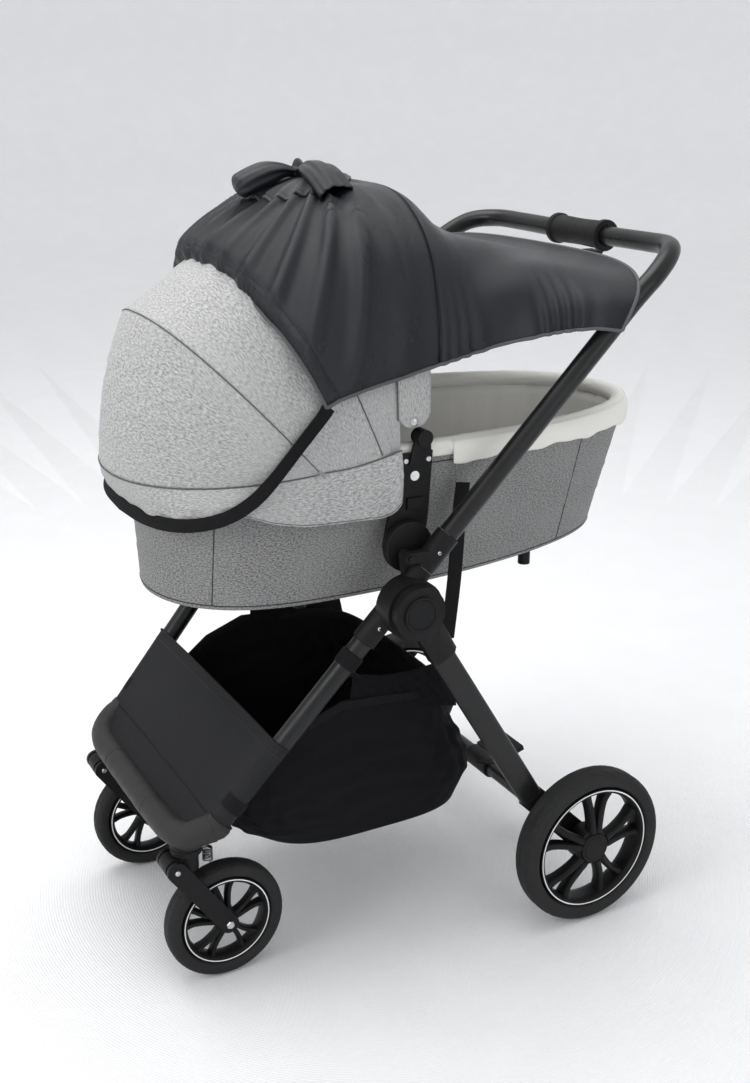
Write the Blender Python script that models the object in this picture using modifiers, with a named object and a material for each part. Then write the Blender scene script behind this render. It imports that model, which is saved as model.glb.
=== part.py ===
"""Baby stroller with a bassinet, a folding hood and a clip-on sunshade, as separate pieces.

Metres, +Z up. The front (small wheels, head end of the bassinet) faces -Y, the stroller's left is +X,
and the origin is on the floor under the middle of the whole object."""

import math
import bpy
import bmesh
from mathutils import Matrix, Vector

GAP = 0.0004  # clearance between touching pieces

# Rear wheels and their frame
REAR_RADIUS = 0.115
REAR_RIM_RADIUS = 0.0905
REAR_WHEEL_X = 0.278
REAR_TYRE_WIDTH = 0.040
AXLE_Y, AXLE_Z = 0.193, REAR_RADIUS
AXLE_RADIUS = 0.006
AXLE_TUBE_RADIUS = 0.0125

# Front wheels and casters
FRONT_RADIUS = 0.083
FRONT_RIM_RADIUS = 0.0625
FRONT_WHEEL_X = 0.155
FRONT_TYRE_WIDTH = 0.030
FRONT_AXLE_Y, FRONT_AXLE_Z = -0.317, FRONT_RADIUS
SWIVEL_Y = -0.366
SWIVEL_RADIUS = 0.0160
SWIVEL_TOP, SWIVEL_BOTTOM = 0.1960, 0.1730
LINK_PIVOT = (-0.3865, 0.182)
LINK_PIVOT_RADIUS = 0.0135

# The straight main tube: one line from the front corner to the handle bend
TUBE_RADIUS = 0.0135
TUBE_AT = Vector((0.219, -0.138, 0.471))
TUBE_SLOPE = Vector((0.130, 1.0, 1.134))
FRONT_SEAM_Y, HUB_SEAM_Y, COLLAR_Y, UPPER_SEAM_Y, BEND_Y = -0.330, -0.138, -0.058, -0.022, 0.232
LOOP_RADIUS = 0.018
LOOP_Y, LOOP_Z = -0.382, 0.224
HANDLE_Y, HANDLE_Z = 0.341, 0.944
GRIP_HALF = 0.060
GRIP_RADIUS = 0.0205

# Hub: where the main tube, the rear leg and the bassinet adapter meet
HUB = (-0.082, 0.516)
HUB_RADIUS = 0.040
HUB_X = (0.224, 0.2575)
LEG_HEAD_X = (0.2580, 0.2710)
LEG_X = (0.2395, 0.2565)
LEG_WIDTH = 0.034
LEG_FOOT = (0.1115, 0.1975)
FOLD_PIN_OFFSET = 0.0285  # in front of the main tube's centre, in the plane of the collar's lower seam
LUG_RADIUS, LUG_REACH = 0.0075, 0.016
ADAPTER = (-0.065, 0.585)
ADAPTER_RADIUS = 0.034
ADAPTER_X = (0.1975, 0.2115)

# Bassinet and hood
TUB_BOTTOM, TUB_TOP = 0.505, 0.6935
TUB_WALL = 0.008
HOOD_PIVOT = (-0.040, 0.725)
HOOD_FOLD_DEGREES = 27.5
HOOD_WALL = 0.0025
STRAP_WIDTH = 0.020


def clearScene():
    for thing in list(bpy.data.objects):
        bpy.data.objects.remove(thing, do_unlink=True)


def newCollection(name):
    group = bpy.data.collections.new(name)
    bpy.context.scene.collection.children.link(group)
    return group


clearScene()
PARTS = newCollection("baby_stroller")
CUTTERS = newCollection("cutters")


def material(name, colour, roughness, metallic=0.0):
    made = bpy.data.materials.new(name)
    made.use_nodes = True
    shader = made.node_tree.nodes["Principled BSDF"]
    shader.inputs["Base Color"].default_value = (*colour, 1.0)
    shader.inputs["Roughness"].default_value = roughness
    shader.inputs["Metallic"].default_value = metallic
    return made


TUBE_BLACK = material("satin_black_tube", (0.012, 0.012, 0.013), 0.32, 0.6)
PLASTIC_BLACK = material("black_plastic", (0.014, 0.014, 0.015), 0.45)
RUBBER = material("tyre_rubber", (0.022, 0.022, 0.023), 0.75)
STEEL = material("zinc_steel", (0.55, 0.55, 0.56), 0.35, 1.0)
SPRING_STEEL = material("spring_steel", (0.05, 0.05, 0.052), 0.35, 1.0)
WRAP_GREY = material("wrap_leatherette", (0.045, 0.044, 0.043), 0.55)
MELANGE_LIGHT = material("hood_melange", (0.32, 0.32, 0.32), 0.9)
MELANGE_DARK = material("tub_melange", (0.17, 0.17, 0.17), 0.9)
CREAM = material("cream_liner", (0.78, 0.77, 0.73), 0.85)
SHADE_BLACK = material("shade_black", (0.015, 0.016, 0.018), 0.6)
BASKET_BLACK = material("basket_black", (0.010, 0.010, 0.011), 0.85)


def keep(thing, finish, origin=None):
    """Puts a finished piece in the parts collection, with its origin on its joint's axis where it has one."""
    thing.data.materials.clear()
    thing.data.materials.append(finish)
    if origin is not None:
        bpy.context.view_layer.update()
        toOrigin = Matrix.Translation(-Vector(origin)) @ thing.matrix_world
        thing.data.transform(toOrigin)
        thing.matrix_world = Matrix.Translation(origin)
    return thing


def fromBmesh(name, shape, home=None):
    data = bpy.data.meshes.new(name)
    bmesh.ops.recalc_face_normals(shape, faces=shape.faces)
    shape.to_mesh(data)
    shape.free()
    thing = bpy.data.objects.new(name, data)
    (home or PARTS).objects.link(thing)
    data.shade_smooth()
    data.set_sharp_from_angle(angle=math.radians(35))
    return thing


def hide(thing):
    thing.hide_render = True
    thing.display_type = "WIRE"
    return thing


def boolean(thing, others, operation):
    for other in others:
        step = thing.modifiers.new(operation.lower(), "BOOLEAN")
        step.operation = operation
        step.object = hide(other)
        step.solver = "EXACT"
    return thing


def rodX(name, radius, x0, x1, y, z, sides=24, home=None):
    """A round bar along X."""
    shape = bmesh.new()
    turn = Matrix.Translation(((x0 + x1) / 2, y, z)) @ Matrix.Rotation(math.pi / 2, 4, "Y")
    bmesh.ops.create_cone(
        shape, cap_ends=True, segments=sides, radius1=radius, radius2=radius, depth=abs(x1 - x0), matrix=turn
    )
    return fromBmesh(name, shape, home)


def rodBetween(name, start, end, radius, sides=16, home=None):
    """A round bar between two points."""
    start, end = Vector(start), Vector(end)
    along = end - start
    shape = bmesh.new()
    turn = Matrix.Translation((start + end) / 2) @ along.to_track_quat("Z", "Y").to_matrix().to_4x4()
    bmesh.ops.create_cone(
        shape, cap_ends=True, segments=sides, radius1=radius, radius2=radius, depth=along.length, matrix=turn
    )
    return fromBmesh(name, shape, home)


def block(name, low, high, home=None, tilt=0.0, about=None):
    """A box between two corners, turned about an X axis through `about` by `tilt` degrees."""
    low, high = Vector(low), Vector(high)
    shape = bmesh.new()
    size = Matrix.Diagonal((*(abs(h - l) for l, h in zip(low, high)), 1.0))
    bmesh.ops.create_cube(shape, size=1.0, matrix=Matrix.Translation((low + high) / 2) @ size)
    if tilt:
        centre = Vector((0.0, *about))
        bmesh.ops.rotate(
            shape, verts=shape.verts, cent=centre, matrix=Matrix.Rotation(math.radians(tilt), 3, "X")
        )
    return fromBmesh(name, shape, home)


def discPoints(radius, x0, x1, y, z, sides=20):
    """The corners of a disc along X, for a hull."""
    turns = [2 * math.pi * i / sides for i in range(sides)]
    return [(x, y + radius * math.cos(t), z + radius * math.sin(t)) for t in turns for x in (x0, x1)]


def hull(name, points, home=None):
    shape = bmesh.new()
    for point in points:
        shape.verts.new(point)
    made = bmesh.ops.convex_hull(shape, input=shape.verts)
    loose = [v for v in made["geom_interior"] + made["geom_unused"] if isinstance(v, bmesh.types.BMVert)]
    bmesh.ops.delete(shape, geom=list(set(loose)), context="VERTS")
    return fromBmesh(name, shape, home)


def turned(name, profile, x, y, z, side=1, steps=28, home=None):
    """A profile of (radius, offset along the axis) turned about an X axis; `side` points the offset outwards."""
    data = bpy.data.meshes.new(name)
    count = len(profile)
    data.from_pydata([(r, 0.0, a) for r, a in profile], [(i, (i + 1) % count) for i in range(count)], [])
    thing = bpy.data.objects.new(name, data)
    (home or PARTS).objects.link(thing)
    spin = thing.modifiers.new("turn", "SCREW")
    spin.axis = "Z"
    spin.steps = spin.render_steps = steps
    spin.angle = 2 * math.pi
    spin.use_merge_vertices = False
    thing.rotation_euler = (0.0, side * math.pi / 2, 0.0)
    thing.location = (x, y, z)
    return thing


def tube(name, points, radius, sides=3):
    """A round tube through the points, as a poly curve."""
    line = bpy.data.curves.new(name, "CURVE")
    line.dimensions = "3D"
    line.bevel_depth = radius
    line.bevel_resolution = sides
    line.use_fill_caps = True
    run = line.splines.new("POLY")
    run.points.add(len(points) - 1)
    for point, place in zip(run.points, points):
        point.co = (*place, 1.0)
    thing = bpy.data.objects.new(name, line)
    PARTS.objects.link(thing)
    return thing


def asMesh(thing, home=None):
    """The curve as a closed mesh, so that it can take a Boolean."""
    name = thing.name
    graph = bpy.context.evaluated_depsgraph_get()
    data = bpy.data.meshes.new_from_object(thing.evaluated_get(graph))
    shape = bmesh.new()
    shape.from_mesh(data)
    bmesh.ops.remove_doubles(shape, verts=shape.verts, dist=1e-5)
    bpy.data.objects.remove(thing, do_unlink=True)
    bpy.data.meshes.remove(data)
    return fromBmesh(name, shape, home)


def smoothPath(points, parts=6):
    """Points of a Catmull-Rom curve through the given points."""
    points = [Vector(p) for p in points]
    padded = [2 * points[0] - points[1], *points, 2 * points[-1] - points[-2]]
    path = []
    for i in range(1, len(padded) - 2):
        a, b, c, d = padded[i - 1 : i + 3]
        for step in range(parts):
            t = step / parts
            path.append(
                0.5 * ((2 * b) + (c - a) * t + (2 * a - 5 * b + 4 * c - d) * t**2 + (3 * b - a - 3 * c + d) * t**3)
            )
    return path + [points[-1]]


def onTube(y, side=1):
    """The main tube's centre at a given Y."""
    place = TUBE_AT + TUBE_SLOPE * (y - TUBE_AT.y)
    return Vector((side * place.x, place.y, place.z))


def foldPin():
    """The fold pin's Y and Z: square to the tube from its centre at the collar's lower seam."""
    seam = onTube(COLLAR_Y)
    along = Vector((TUBE_SLOPE.y, TUBE_SLOPE.z)).normalized()
    return (seam.y - along.y * FOLD_PIN_OFFSET, seam.z + along.x * FOLD_PIN_OFFSET)


FOLD_PIN = foldPin()


def named(stem, side):
    return f"{stem}_{'left' if side > 0 else 'right'}"


def mirrored(points, side):
    return [(side * x, y, z) for x, y, z in points]


# ---- wheels

def wheelProfile(rim, radius, width):
    """Tyre section: a flat seat on the rim, straight side walls and a crowned tread."""
    half = width / 2
    upper = [(rim + GAP, half * 0.84), (rim + 0.005, half), (radius - 0.011, half), (radius - 0.003, half * 0.62)]
    return upper + [(radius, 0.0)] + [(r, -a) for r, a in reversed(upper)]


def spokeSet(name, inner, outer, width, depth, spread, x, y, z, turn):
    """Five pairs of spokes, as boxes round the axle."""
    shape = bmesh.new()
    for pair in range(5):
        for shift in (-spread, spread):
            angle = 2 * math.pi * pair / 5 + turn
            size = Matrix.Diagonal((depth, width, outer - inner, 1.0))
            place = Matrix.Translation((0.0, shift, (inner + outer) / 2)) @ size
            around = Matrix.Translation((x, y, z)) @ Matrix.Rotation(angle, 4, "X")
            bmesh.ops.create_cube(shape, size=1.0, matrix=around @ place)
    return fromBmesh(name, shape, CUTTERS)


def wheel(stem, side, x, y, z, radius, rim, width, hubRadius, turn):
    tyre = turned(named(stem + "_tyre", side), wheelProfile(rim, radius, width), side * x, y, z, side)
    keep(tyre, RUBBER)
    half = width * 0.42
    ring = [(rim - 0.008, half), (rim, half), (rim, -half), (rim - 0.008, -half)]
    rimPiece = turned(named(stem + "_rim", side), ring, side * x, y, z, side)
    spokes = spokeSet(
        named(stem + "_spokes", side), hubRadius * 0.7, rim - 0.004, 0.0062, half * 1.3, hubRadius * 0.36,
        side * x, y, z, turn,
    )
    hub = rodX(named(stem + "_hub", side), hubRadius, side * x - half * 0.95, side * x + half * 0.95, y, z, 20, CUTTERS)
    boolean(rimPiece, [spokes, hub], "UNION")
    keep(rimPiece, PLASTIC_BLACK)
    return rimPiece


def buildRearWheels():
    for side in (1, -1):
        rim = wheel(
            "rear_wheel", side, REAR_WHEEL_X, AXLE_Y, AXLE_Z, REAR_RADIUS, REAR_RIM_RADIUS, REAR_TYRE_WIDTH, 0.027, 0.2
        )
        bore = rodX(
            named("rear_bore", side), AXLE_RADIUS + GAP, side * 0.250, side * 0.2905, AXLE_Y, AXLE_Z, 16, CUTTERS
        )
        boolean(rim, [bore], "DIFFERENCE")
        face = REAR_WHEEL_X + REAR_TYRE_WIDTH * 0.42 * 0.95
        cap = turned(
            named("rear_wheel_cap", side),
            [(0.0001, 0.0035), (0.018, 0.003), (0.022, 0.001), (0.022, 0.0), (0.0001, 0.0)],
            side * (face + GAP), AXLE_Y, AXLE_Z, side, 24,
        )
        keep(cap, PLASTIC_BLACK)


def buildFrontWheels():
    for side in (1, -1):
        rim = wheel(
            "front_wheel", side, FRONT_WHEEL_X, FRONT_AXLE_Y, FRONT_AXLE_Z, FRONT_RADIUS, FRONT_RIM_RADIUS,
            FRONT_TYRE_WIDTH, 0.016, 0.35,
        )
        bore = rodX(
            named("front_bore", side), 0.0045 + GAP, side * 0.125, side * 0.185, FRONT_AXLE_Y, FRONT_AXLE_Z, 16, CUTTERS
        )
        boolean(rim, [bore], "DIFFERENCE")
        bolt = rodX(
            named("front_axle_bolt", side), 0.0045, side * 0.1290, side * 0.1810, FRONT_AXLE_Y, FRONT_AXLE_Z, 16
        )
        keep(bolt, STEEL)


# ---- casters

def buildCasters():
    for side in (1, -1):
        x = side * FRONT_WHEEL_X
        head = rodBetween(
            named("caster_yoke", side), (x, SWIVEL_Y, SWIVEL_BOTTOM), (x, SWIVEL_Y, SWIVEL_TOP - GAP), SWIVEL_RADIUS, 24
        )
        nose = hull(
            named("caster_nose", side),
            discPoints(LINK_PIVOT_RADIUS, x - 0.013, x + 0.013, *LINK_PIVOT)
            + discPoints(0.010, x - 0.013, x + 0.013, SWIVEL_Y, 0.1840),
            CUTTERS,
        )
        pinHole = rodX(named("link_bore", side), 0.0045 + GAP, x - 0.03, x + 0.03, *LINK_PIVOT, 12, CUTTERS)
        boolean(head, [nose], "UNION")
        boolean(head, [pinHole], "DIFFERENCE")
        keep(head, PLASTIC_BLACK, (x, SWIVEL_Y, SWIVEL_TOP))

        cheeks = []
        for edge, inner, outer in (("outer", 0.0165, 0.0225), ("inner", -0.0225, -0.0165)):
            cheeks.append(
                hull(
                    named(f"link_{edge}", side),
                    discPoints(LINK_PIVOT_RADIUS, x + inner, x + outer, *LINK_PIVOT, 16)
                    + discPoints(0.0130, x + inner, x + outer, FRONT_AXLE_Y, FRONT_AXLE_Z, 16),
                    PARTS if edge == "outer" else CUTTERS,
                )
            )
        link = cheeks[0]
        link.name = named("caster_link", side)
        bar = rodX(named("link_bar", side), 0.0045, x - 0.020, x + 0.020, *LINK_PIVOT, 12, CUTTERS)
        axleHole = rodX(
            named("link_axle_bore", side), 0.0045 + GAP, x - 0.03, x + 0.03, FRONT_AXLE_Y, FRONT_AXLE_Z, 12, CUTTERS
        )
        boolean(link, [cheeks[1], bar], "UNION")
        boolean(link, [axleHole], "DIFFERENCE")
        keep(link, PLASTIC_BLACK, (x, *LINK_PIVOT))

        turns, perTurn = 3.5, 8
        coil = [
            (
                x + 0.0062 * math.cos(2 * math.pi * i / perTurn),
                -0.3370 + 0.0062 * math.sin(2 * math.pi * i / perTurn),
                0.1765 + 0.0170 * i / (turns * perTurn),
            )
            for i in range(int(turns * perTurn) + 1)
        ]
        spring = tube(named("caster_spring", side), coil, 0.0013, 1)
        spring.data.materials.append(SPRING_STEEL)

        lever = hull(
            named("swivel_lock", side),
            discPoints(0.005, x - 0.007, x + 0.007, -0.3385, 0.2150, 12)
            + [(x + dx, -0.3265, z) for dx in (-0.007, 0.007) for z in (0.2135, 0.2185)],
        )
        keep(lever, PLASTIC_BLACK, (x, -0.3385, 0.2150))


# ---- lower frame

def buildLowerFrame():
    for side in (1, -1):
        keep(
            rodBetween(
                named("lower_tube", side), onTube(FRONT_SEAM_Y, side), onTube(HUB_SEAM_Y, side), TUBE_RADIUS
            ),
            TUBE_BLACK,
        )
    start = onTube(FRONT_SEAM_Y - 0.0006)
    bend = [
        tuple(onTube(FRONT_SEAM_Y - 0.0070)),
        (0.1870, -0.3520, 0.2400),
        (0.1720, -0.3700, 0.2290),
        (0.1380, -0.3800, 0.2250),
        (0.0700, LOOP_Y, LOOP_Z),
        (0.0, LOOP_Y, LOOP_Z),
    ]
    path = [start] + smoothPath(bend, 3)
    path += [Vector((-p.x, p.y, p.z)) for p in reversed(path[:-1])]
    loop = asMesh(tube("front_loop", path, LOOP_RADIUS, 2))
    sockets = [
        rodBetween(
            named("swivel_housing", side), (side * FRONT_WHEEL_X, SWIVEL_Y, SWIVEL_TOP),
            (side * FRONT_WHEEL_X, SWIVEL_Y, 0.235), 0.0215, 24, CUTTERS,
        )
        for side in (1, -1)
    ]
    boolean(loop, sockets, "UNION")
    keep(loop, WRAP_GREY)

    low, high = onTube(-0.338), onTube(-0.250)
    lift = Vector((0.0, -0.012, 0.018))
    corners = []
    for place, half in ((low, 0.155), (high, 0.182)):
        for side in (1, -1):
            base = Vector((side * half, place.y, place.z)) + lift
            corners += [base, base + Vector((0.0, 0.0026, -0.0023))]
    panel = hull("footrest_panel", [tuple(c) for c in corners])
    keep(panel, SHADE_BLACK)


def buildHubs():
    for side in (1, -1):
        disc = rodX(named("hub_housing", side), HUB_RADIUS, side * HUB_X[0], side * HUB_X[1], *HUB, 32)
        sleeve = rodBetween(
            named("hub_sleeve", side), onTube(HUB_SEAM_Y + 0.0006, side), onTube(COLLAR_Y, side), 0.0165, 20, CUTTERS
        )
        lug = hull(
            named("hub_lug", side),
            mirrored(
                discPoints(LUG_RADIUS, 0.2190, 0.2300 - GAP, *FOLD_PIN, 14)
                + discPoints(LUG_RADIUS, 0.2190, 0.2300 - GAP, *onTube(COLLAR_Y - LUG_REACH).yz, 14),
                side,
            ),
            CUTTERS,
        )
        pin = rodX(named("hub_pin_bore", side), 0.004 + GAP, side * 0.21, side * 0.25, *FOLD_PIN, 12, CUTTERS)
        boolean(disc, [sleeve, lug], "UNION")
        boolean(disc, [pin], "DIFFERENCE")
        keep(disc, PLASTIC_BLACK)

        keep(
            rodX(named("adapter", side), ADAPTER_RADIUS, side * ADAPTER_X[0], side * ADAPTER_X[1], *ADAPTER, 28),
            PLASTIC_BLACK,
        )


# ---- rear frame

def legPoint(distance):
    """A point on the rear leg's centre line, `distance` from the hub's axis."""
    hub, foot = Vector(HUB), Vector(LEG_FOOT)
    return hub + (foot - hub).normalized() * distance


def legSection(x, distance, width, depth):
    """The eight corners of a bevelled section across the leg."""
    hub, foot = Vector(HUB), Vector(LEG_FOOT)
    along = (foot - hub).normalized()
    across = Vector((-along.y, along.x))
    centre = legPoint(distance)
    points = []
    for u, v in ((0.5, 0.28), (0.32, 0.5), (-0.32, 0.5), (-0.5, 0.28), (-0.5, -0.28), (-0.32, -0.5), (0.32, -0.5), (0.5, -0.28)):
        spot = centre + across * (u * width)
        points.append((x + v * depth, spot.x, spot.y))
    return points


def buildRearFrame():
    legEnd = (Vector(LEG_FOOT) - Vector(HUB)).length
    pivot = (0.0, *HUB)
    middle, depth = sum(LEG_X) / 2, LEG_X[1] - LEG_X[0]
    for side in (1, -1):
        tubePart = hull(
            named("rear_leg", side),
            mirrored(legSection(middle, 0.0800, LEG_WIDTH, depth) + legSection(middle, legEnd, LEG_WIDTH, depth), side),
        )
        peg = rodX(named("basket_peg", side), 0.010, side * 0.2190, side * 0.2450, *legPoint(0.318), 16, CUTTERS)
        boolean(tubePart, [peg], "UNION")
        keep(tubePart, TUBE_BLACK, pivot)

        head = rodX(named("leg_head", side), 0.036, side * LEG_HEAD_X[0], side * LEG_HEAD_X[1], *HUB, 28)
        neck = hull(
            named("leg_neck", side),
            mirrored(
                legSection(0.2645, 0.020, 0.040, 0.0125)
                + legSection(0.2645, 0.046, 0.038, 0.0125)
                + legSection(0.2550, 0.0796, LEG_WIDTH + 0.004, 0.031),
                side,
            ),
            CUTTERS,
        )
        relief = rodX(
            named("neck_relief", side), HUB_RADIUS + GAP, side * 0.2300, side * LEG_HEAD_X[0], *HUB, 32, CUTTERS
        )
        cover = rodX(named("hub_cover", side), 0.024, side * 0.2690, side * 0.2745, *HUB, 24, CUTTERS)
        boolean(head, [neck, cover], "UNION")
        boolean(head, [relief], "DIFFERENCE")
        keep(head, PLASTIC_BLACK, pivot)

        foot = hull(
            named("leg_foot", side),
            mirrored(
                legSection(middle, legEnd + GAP, LEG_WIDTH + 0.003, depth)
                + discPoints(0.0190, 0.2370, 0.2560, AXLE_Y, AXLE_Z),
                side,
            ),
        )
        bore = rodX(named("foot_bore", side), AXLE_RADIUS + GAP, side * 0.22, side * 0.27, AXLE_Y, AXLE_Z, 16, CUTTERS)
        boolean(foot, [bore], "DIFFERENCE")
        keep(foot, PLASTIC_BLACK, pivot)

    keep(rodX("rear_axle", AXLE_RADIUS, -0.2900, 0.2900, AXLE_Y, AXLE_Z, 16), STEEL, pivot)
    inner, outer, half = AXLE_RADIUS + GAP, AXLE_TUBE_RADIUS, 0.2370 - GAP
    axleTube = turned(
        "axle_tube", [(inner, half), (outer, half), (outer, -half), (inner, -half)], 0.0, AXLE_Y, AXLE_Z, 1, 20
    )
    keep(axleTube, TUBE_BLACK)

    clamp = turned(
        "brake_pedal",
        [(outer + GAP, 0.028), (outer + 0.004, 0.028), (outer + 0.004, -0.028), (outer + GAP, -0.028)],
        0.0, AXLE_Y, AXLE_Z, 1, 20,
    )
    tread = block(
        "pedal_tread", (-0.034, AXLE_Y + outer + 0.001, AXLE_Z + 0.003), (0.034, AXLE_Y + 0.060, AXLE_Z + 0.011),
        CUTTERS, 18.0, (AXLE_Y, AXLE_Z),
    )
    boolean(clamp, [tread], "UNION")
    keep(clamp, PLASTIC_BLACK)


# ---- handle

def buildHandle():
    pivot = (0.0, *FOLD_PIN)
    straight = onTube(BEND_Y)
    bend = [
        tuple(straight),
        (0.2630, 0.2680, 0.9190),
        (0.2450, 0.3020, 0.9400),
        (0.2080, 0.3300, 0.9460),
        (0.1500, HANDLE_Y - 0.001, 0.9450),
        (GRIP_HALF, HANDLE_Y, HANDLE_Z),
        (0.0, HANDLE_Y, HANDLE_Z),
    ]
    path = [onTube(UPPER_SEAM_Y + 0.0006)] + smoothPath(bend, 3)
    path += [Vector((-p.x, p.y, p.z)) for p in reversed(path[:-1])]
    keep(asMesh(tube("handle_tube", path, TUBE_RADIUS, 2)), TUBE_BLACK, pivot)

    bore = TUBE_RADIUS + 0.0008
    ring = GRIP_RADIUS + 0.0020
    grip = turned(
        "handle_grip",
        [
            (bore, GRIP_HALF), (ring, GRIP_HALF), (ring, GRIP_HALF - 0.008), (GRIP_RADIUS, GRIP_HALF - 0.010),
            (GRIP_RADIUS, -GRIP_HALF + 0.010), (ring, -GRIP_HALF + 0.008), (ring, -GRIP_HALF), (bore, -GRIP_HALF),
        ],
        0.0, HANDLE_Y, HANDLE_Z, 1, 16,
    )
    keep(grip, RUBBER)
    under = HANDLE_Z - ring - GAP
    keep(
        hull(
            "fold_slider",
            [(x, y, under) for x in (0.014, 0.046) for y in (HANDLE_Y - 0.009, HANDLE_Y + 0.009)]
            + [(x, y, under - 0.008) for x in (0.018, 0.042) for y in (HANDLE_Y - 0.006, HANDLE_Y + 0.006)],
        ),
        PLASTIC_BLACK, (0.030, HANDLE_Y, under),
    )
    for side in (1, -1):
        collar = rodBetween(
            named("handle_collar", side), onTube(COLLAR_Y + 0.0008, side), onTube(UPPER_SEAM_Y, side), 0.0163, 20
        )
        lug = hull(
            named("collar_lug", side),
            mirrored(
                discPoints(LUG_RADIUS, 0.2300, 0.2410, *FOLD_PIN, 14)
                + discPoints(LUG_RADIUS, 0.2300, 0.2410, *onTube(COLLAR_Y + LUG_REACH).yz, 14),
                side,
            ),
            CUTTERS,
        )
        pin = rodX(named("fold_pin", side), 0.004, side * 0.2195, side * 0.2440, *FOLD_PIN, 12, CUTTERS)
        boolean(collar, [lug, pin], "UNION")
        keep(collar, PLASTIC_BLACK, pivot)


# ---- soft goods

def outline(level, count=44):
    """The bassinet's egg-shaped outline at a height: level 0 is the bottom and 1 the rim."""
    half = 0.152 + (0.188 - 0.152) * level
    middle = -0.10 + 0.02 * level
    head, foot = middle + 0.350 + 0.005 * level, 0.362 + 0.034 * level - middle
    side, footPower = 2.0 + 0.3 * level, 1.8 + 1.0 * level
    points = []
    for i in range(count):
        angle = 2 * math.pi * i / count
        c, s = math.cos(angle), math.sin(angle)
        reach, power = (foot, footPower) if c > 0 else (head, 3.2)
        y = middle + math.copysign(reach * abs(c) ** (2 / power), c)
        points.append((math.copysign(half * abs(s) ** (2 / side), s), y))
    return points


def inset(points, by):
    """The outline moved inwards by a distance, along each point's own normal."""
    moved, count = [], len(points)
    for i, (x, y) in enumerate(points):
        (ax, ay), (bx, by_) = points[i - 1], points[(i + 1) % count]
        across = Vector((by_ - ay, ax - bx)).normalized()
        if across.dot(Vector((x, y + 0.08))) < 0:
            across.negate()
        moved.append((x - across.x * by, y - across.y * by))
    return moved


def loft(name, rings, capped=True):
    """A skin through rings of equal count, closed at both ends when capped, else only at the first ring."""
    shape = bmesh.new()
    rows = [[shape.verts.new(p) for p in ring] for ring in rings]
    count = len(rows[0])
    for lower, upper in zip(rows, rows[1:]):
        for i in range(count):
            j = (i + 1) % count
            shape.faces.new((lower[i], lower[j], upper[j], upper[i]))
    shape.faces.new(list(reversed(rows[0])))
    if capped:
        shape.faces.new(rows[-1])
    return fromBmesh(name, shape)


def at(points, z):
    return [(x, y, z) for x, y in points]


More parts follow.
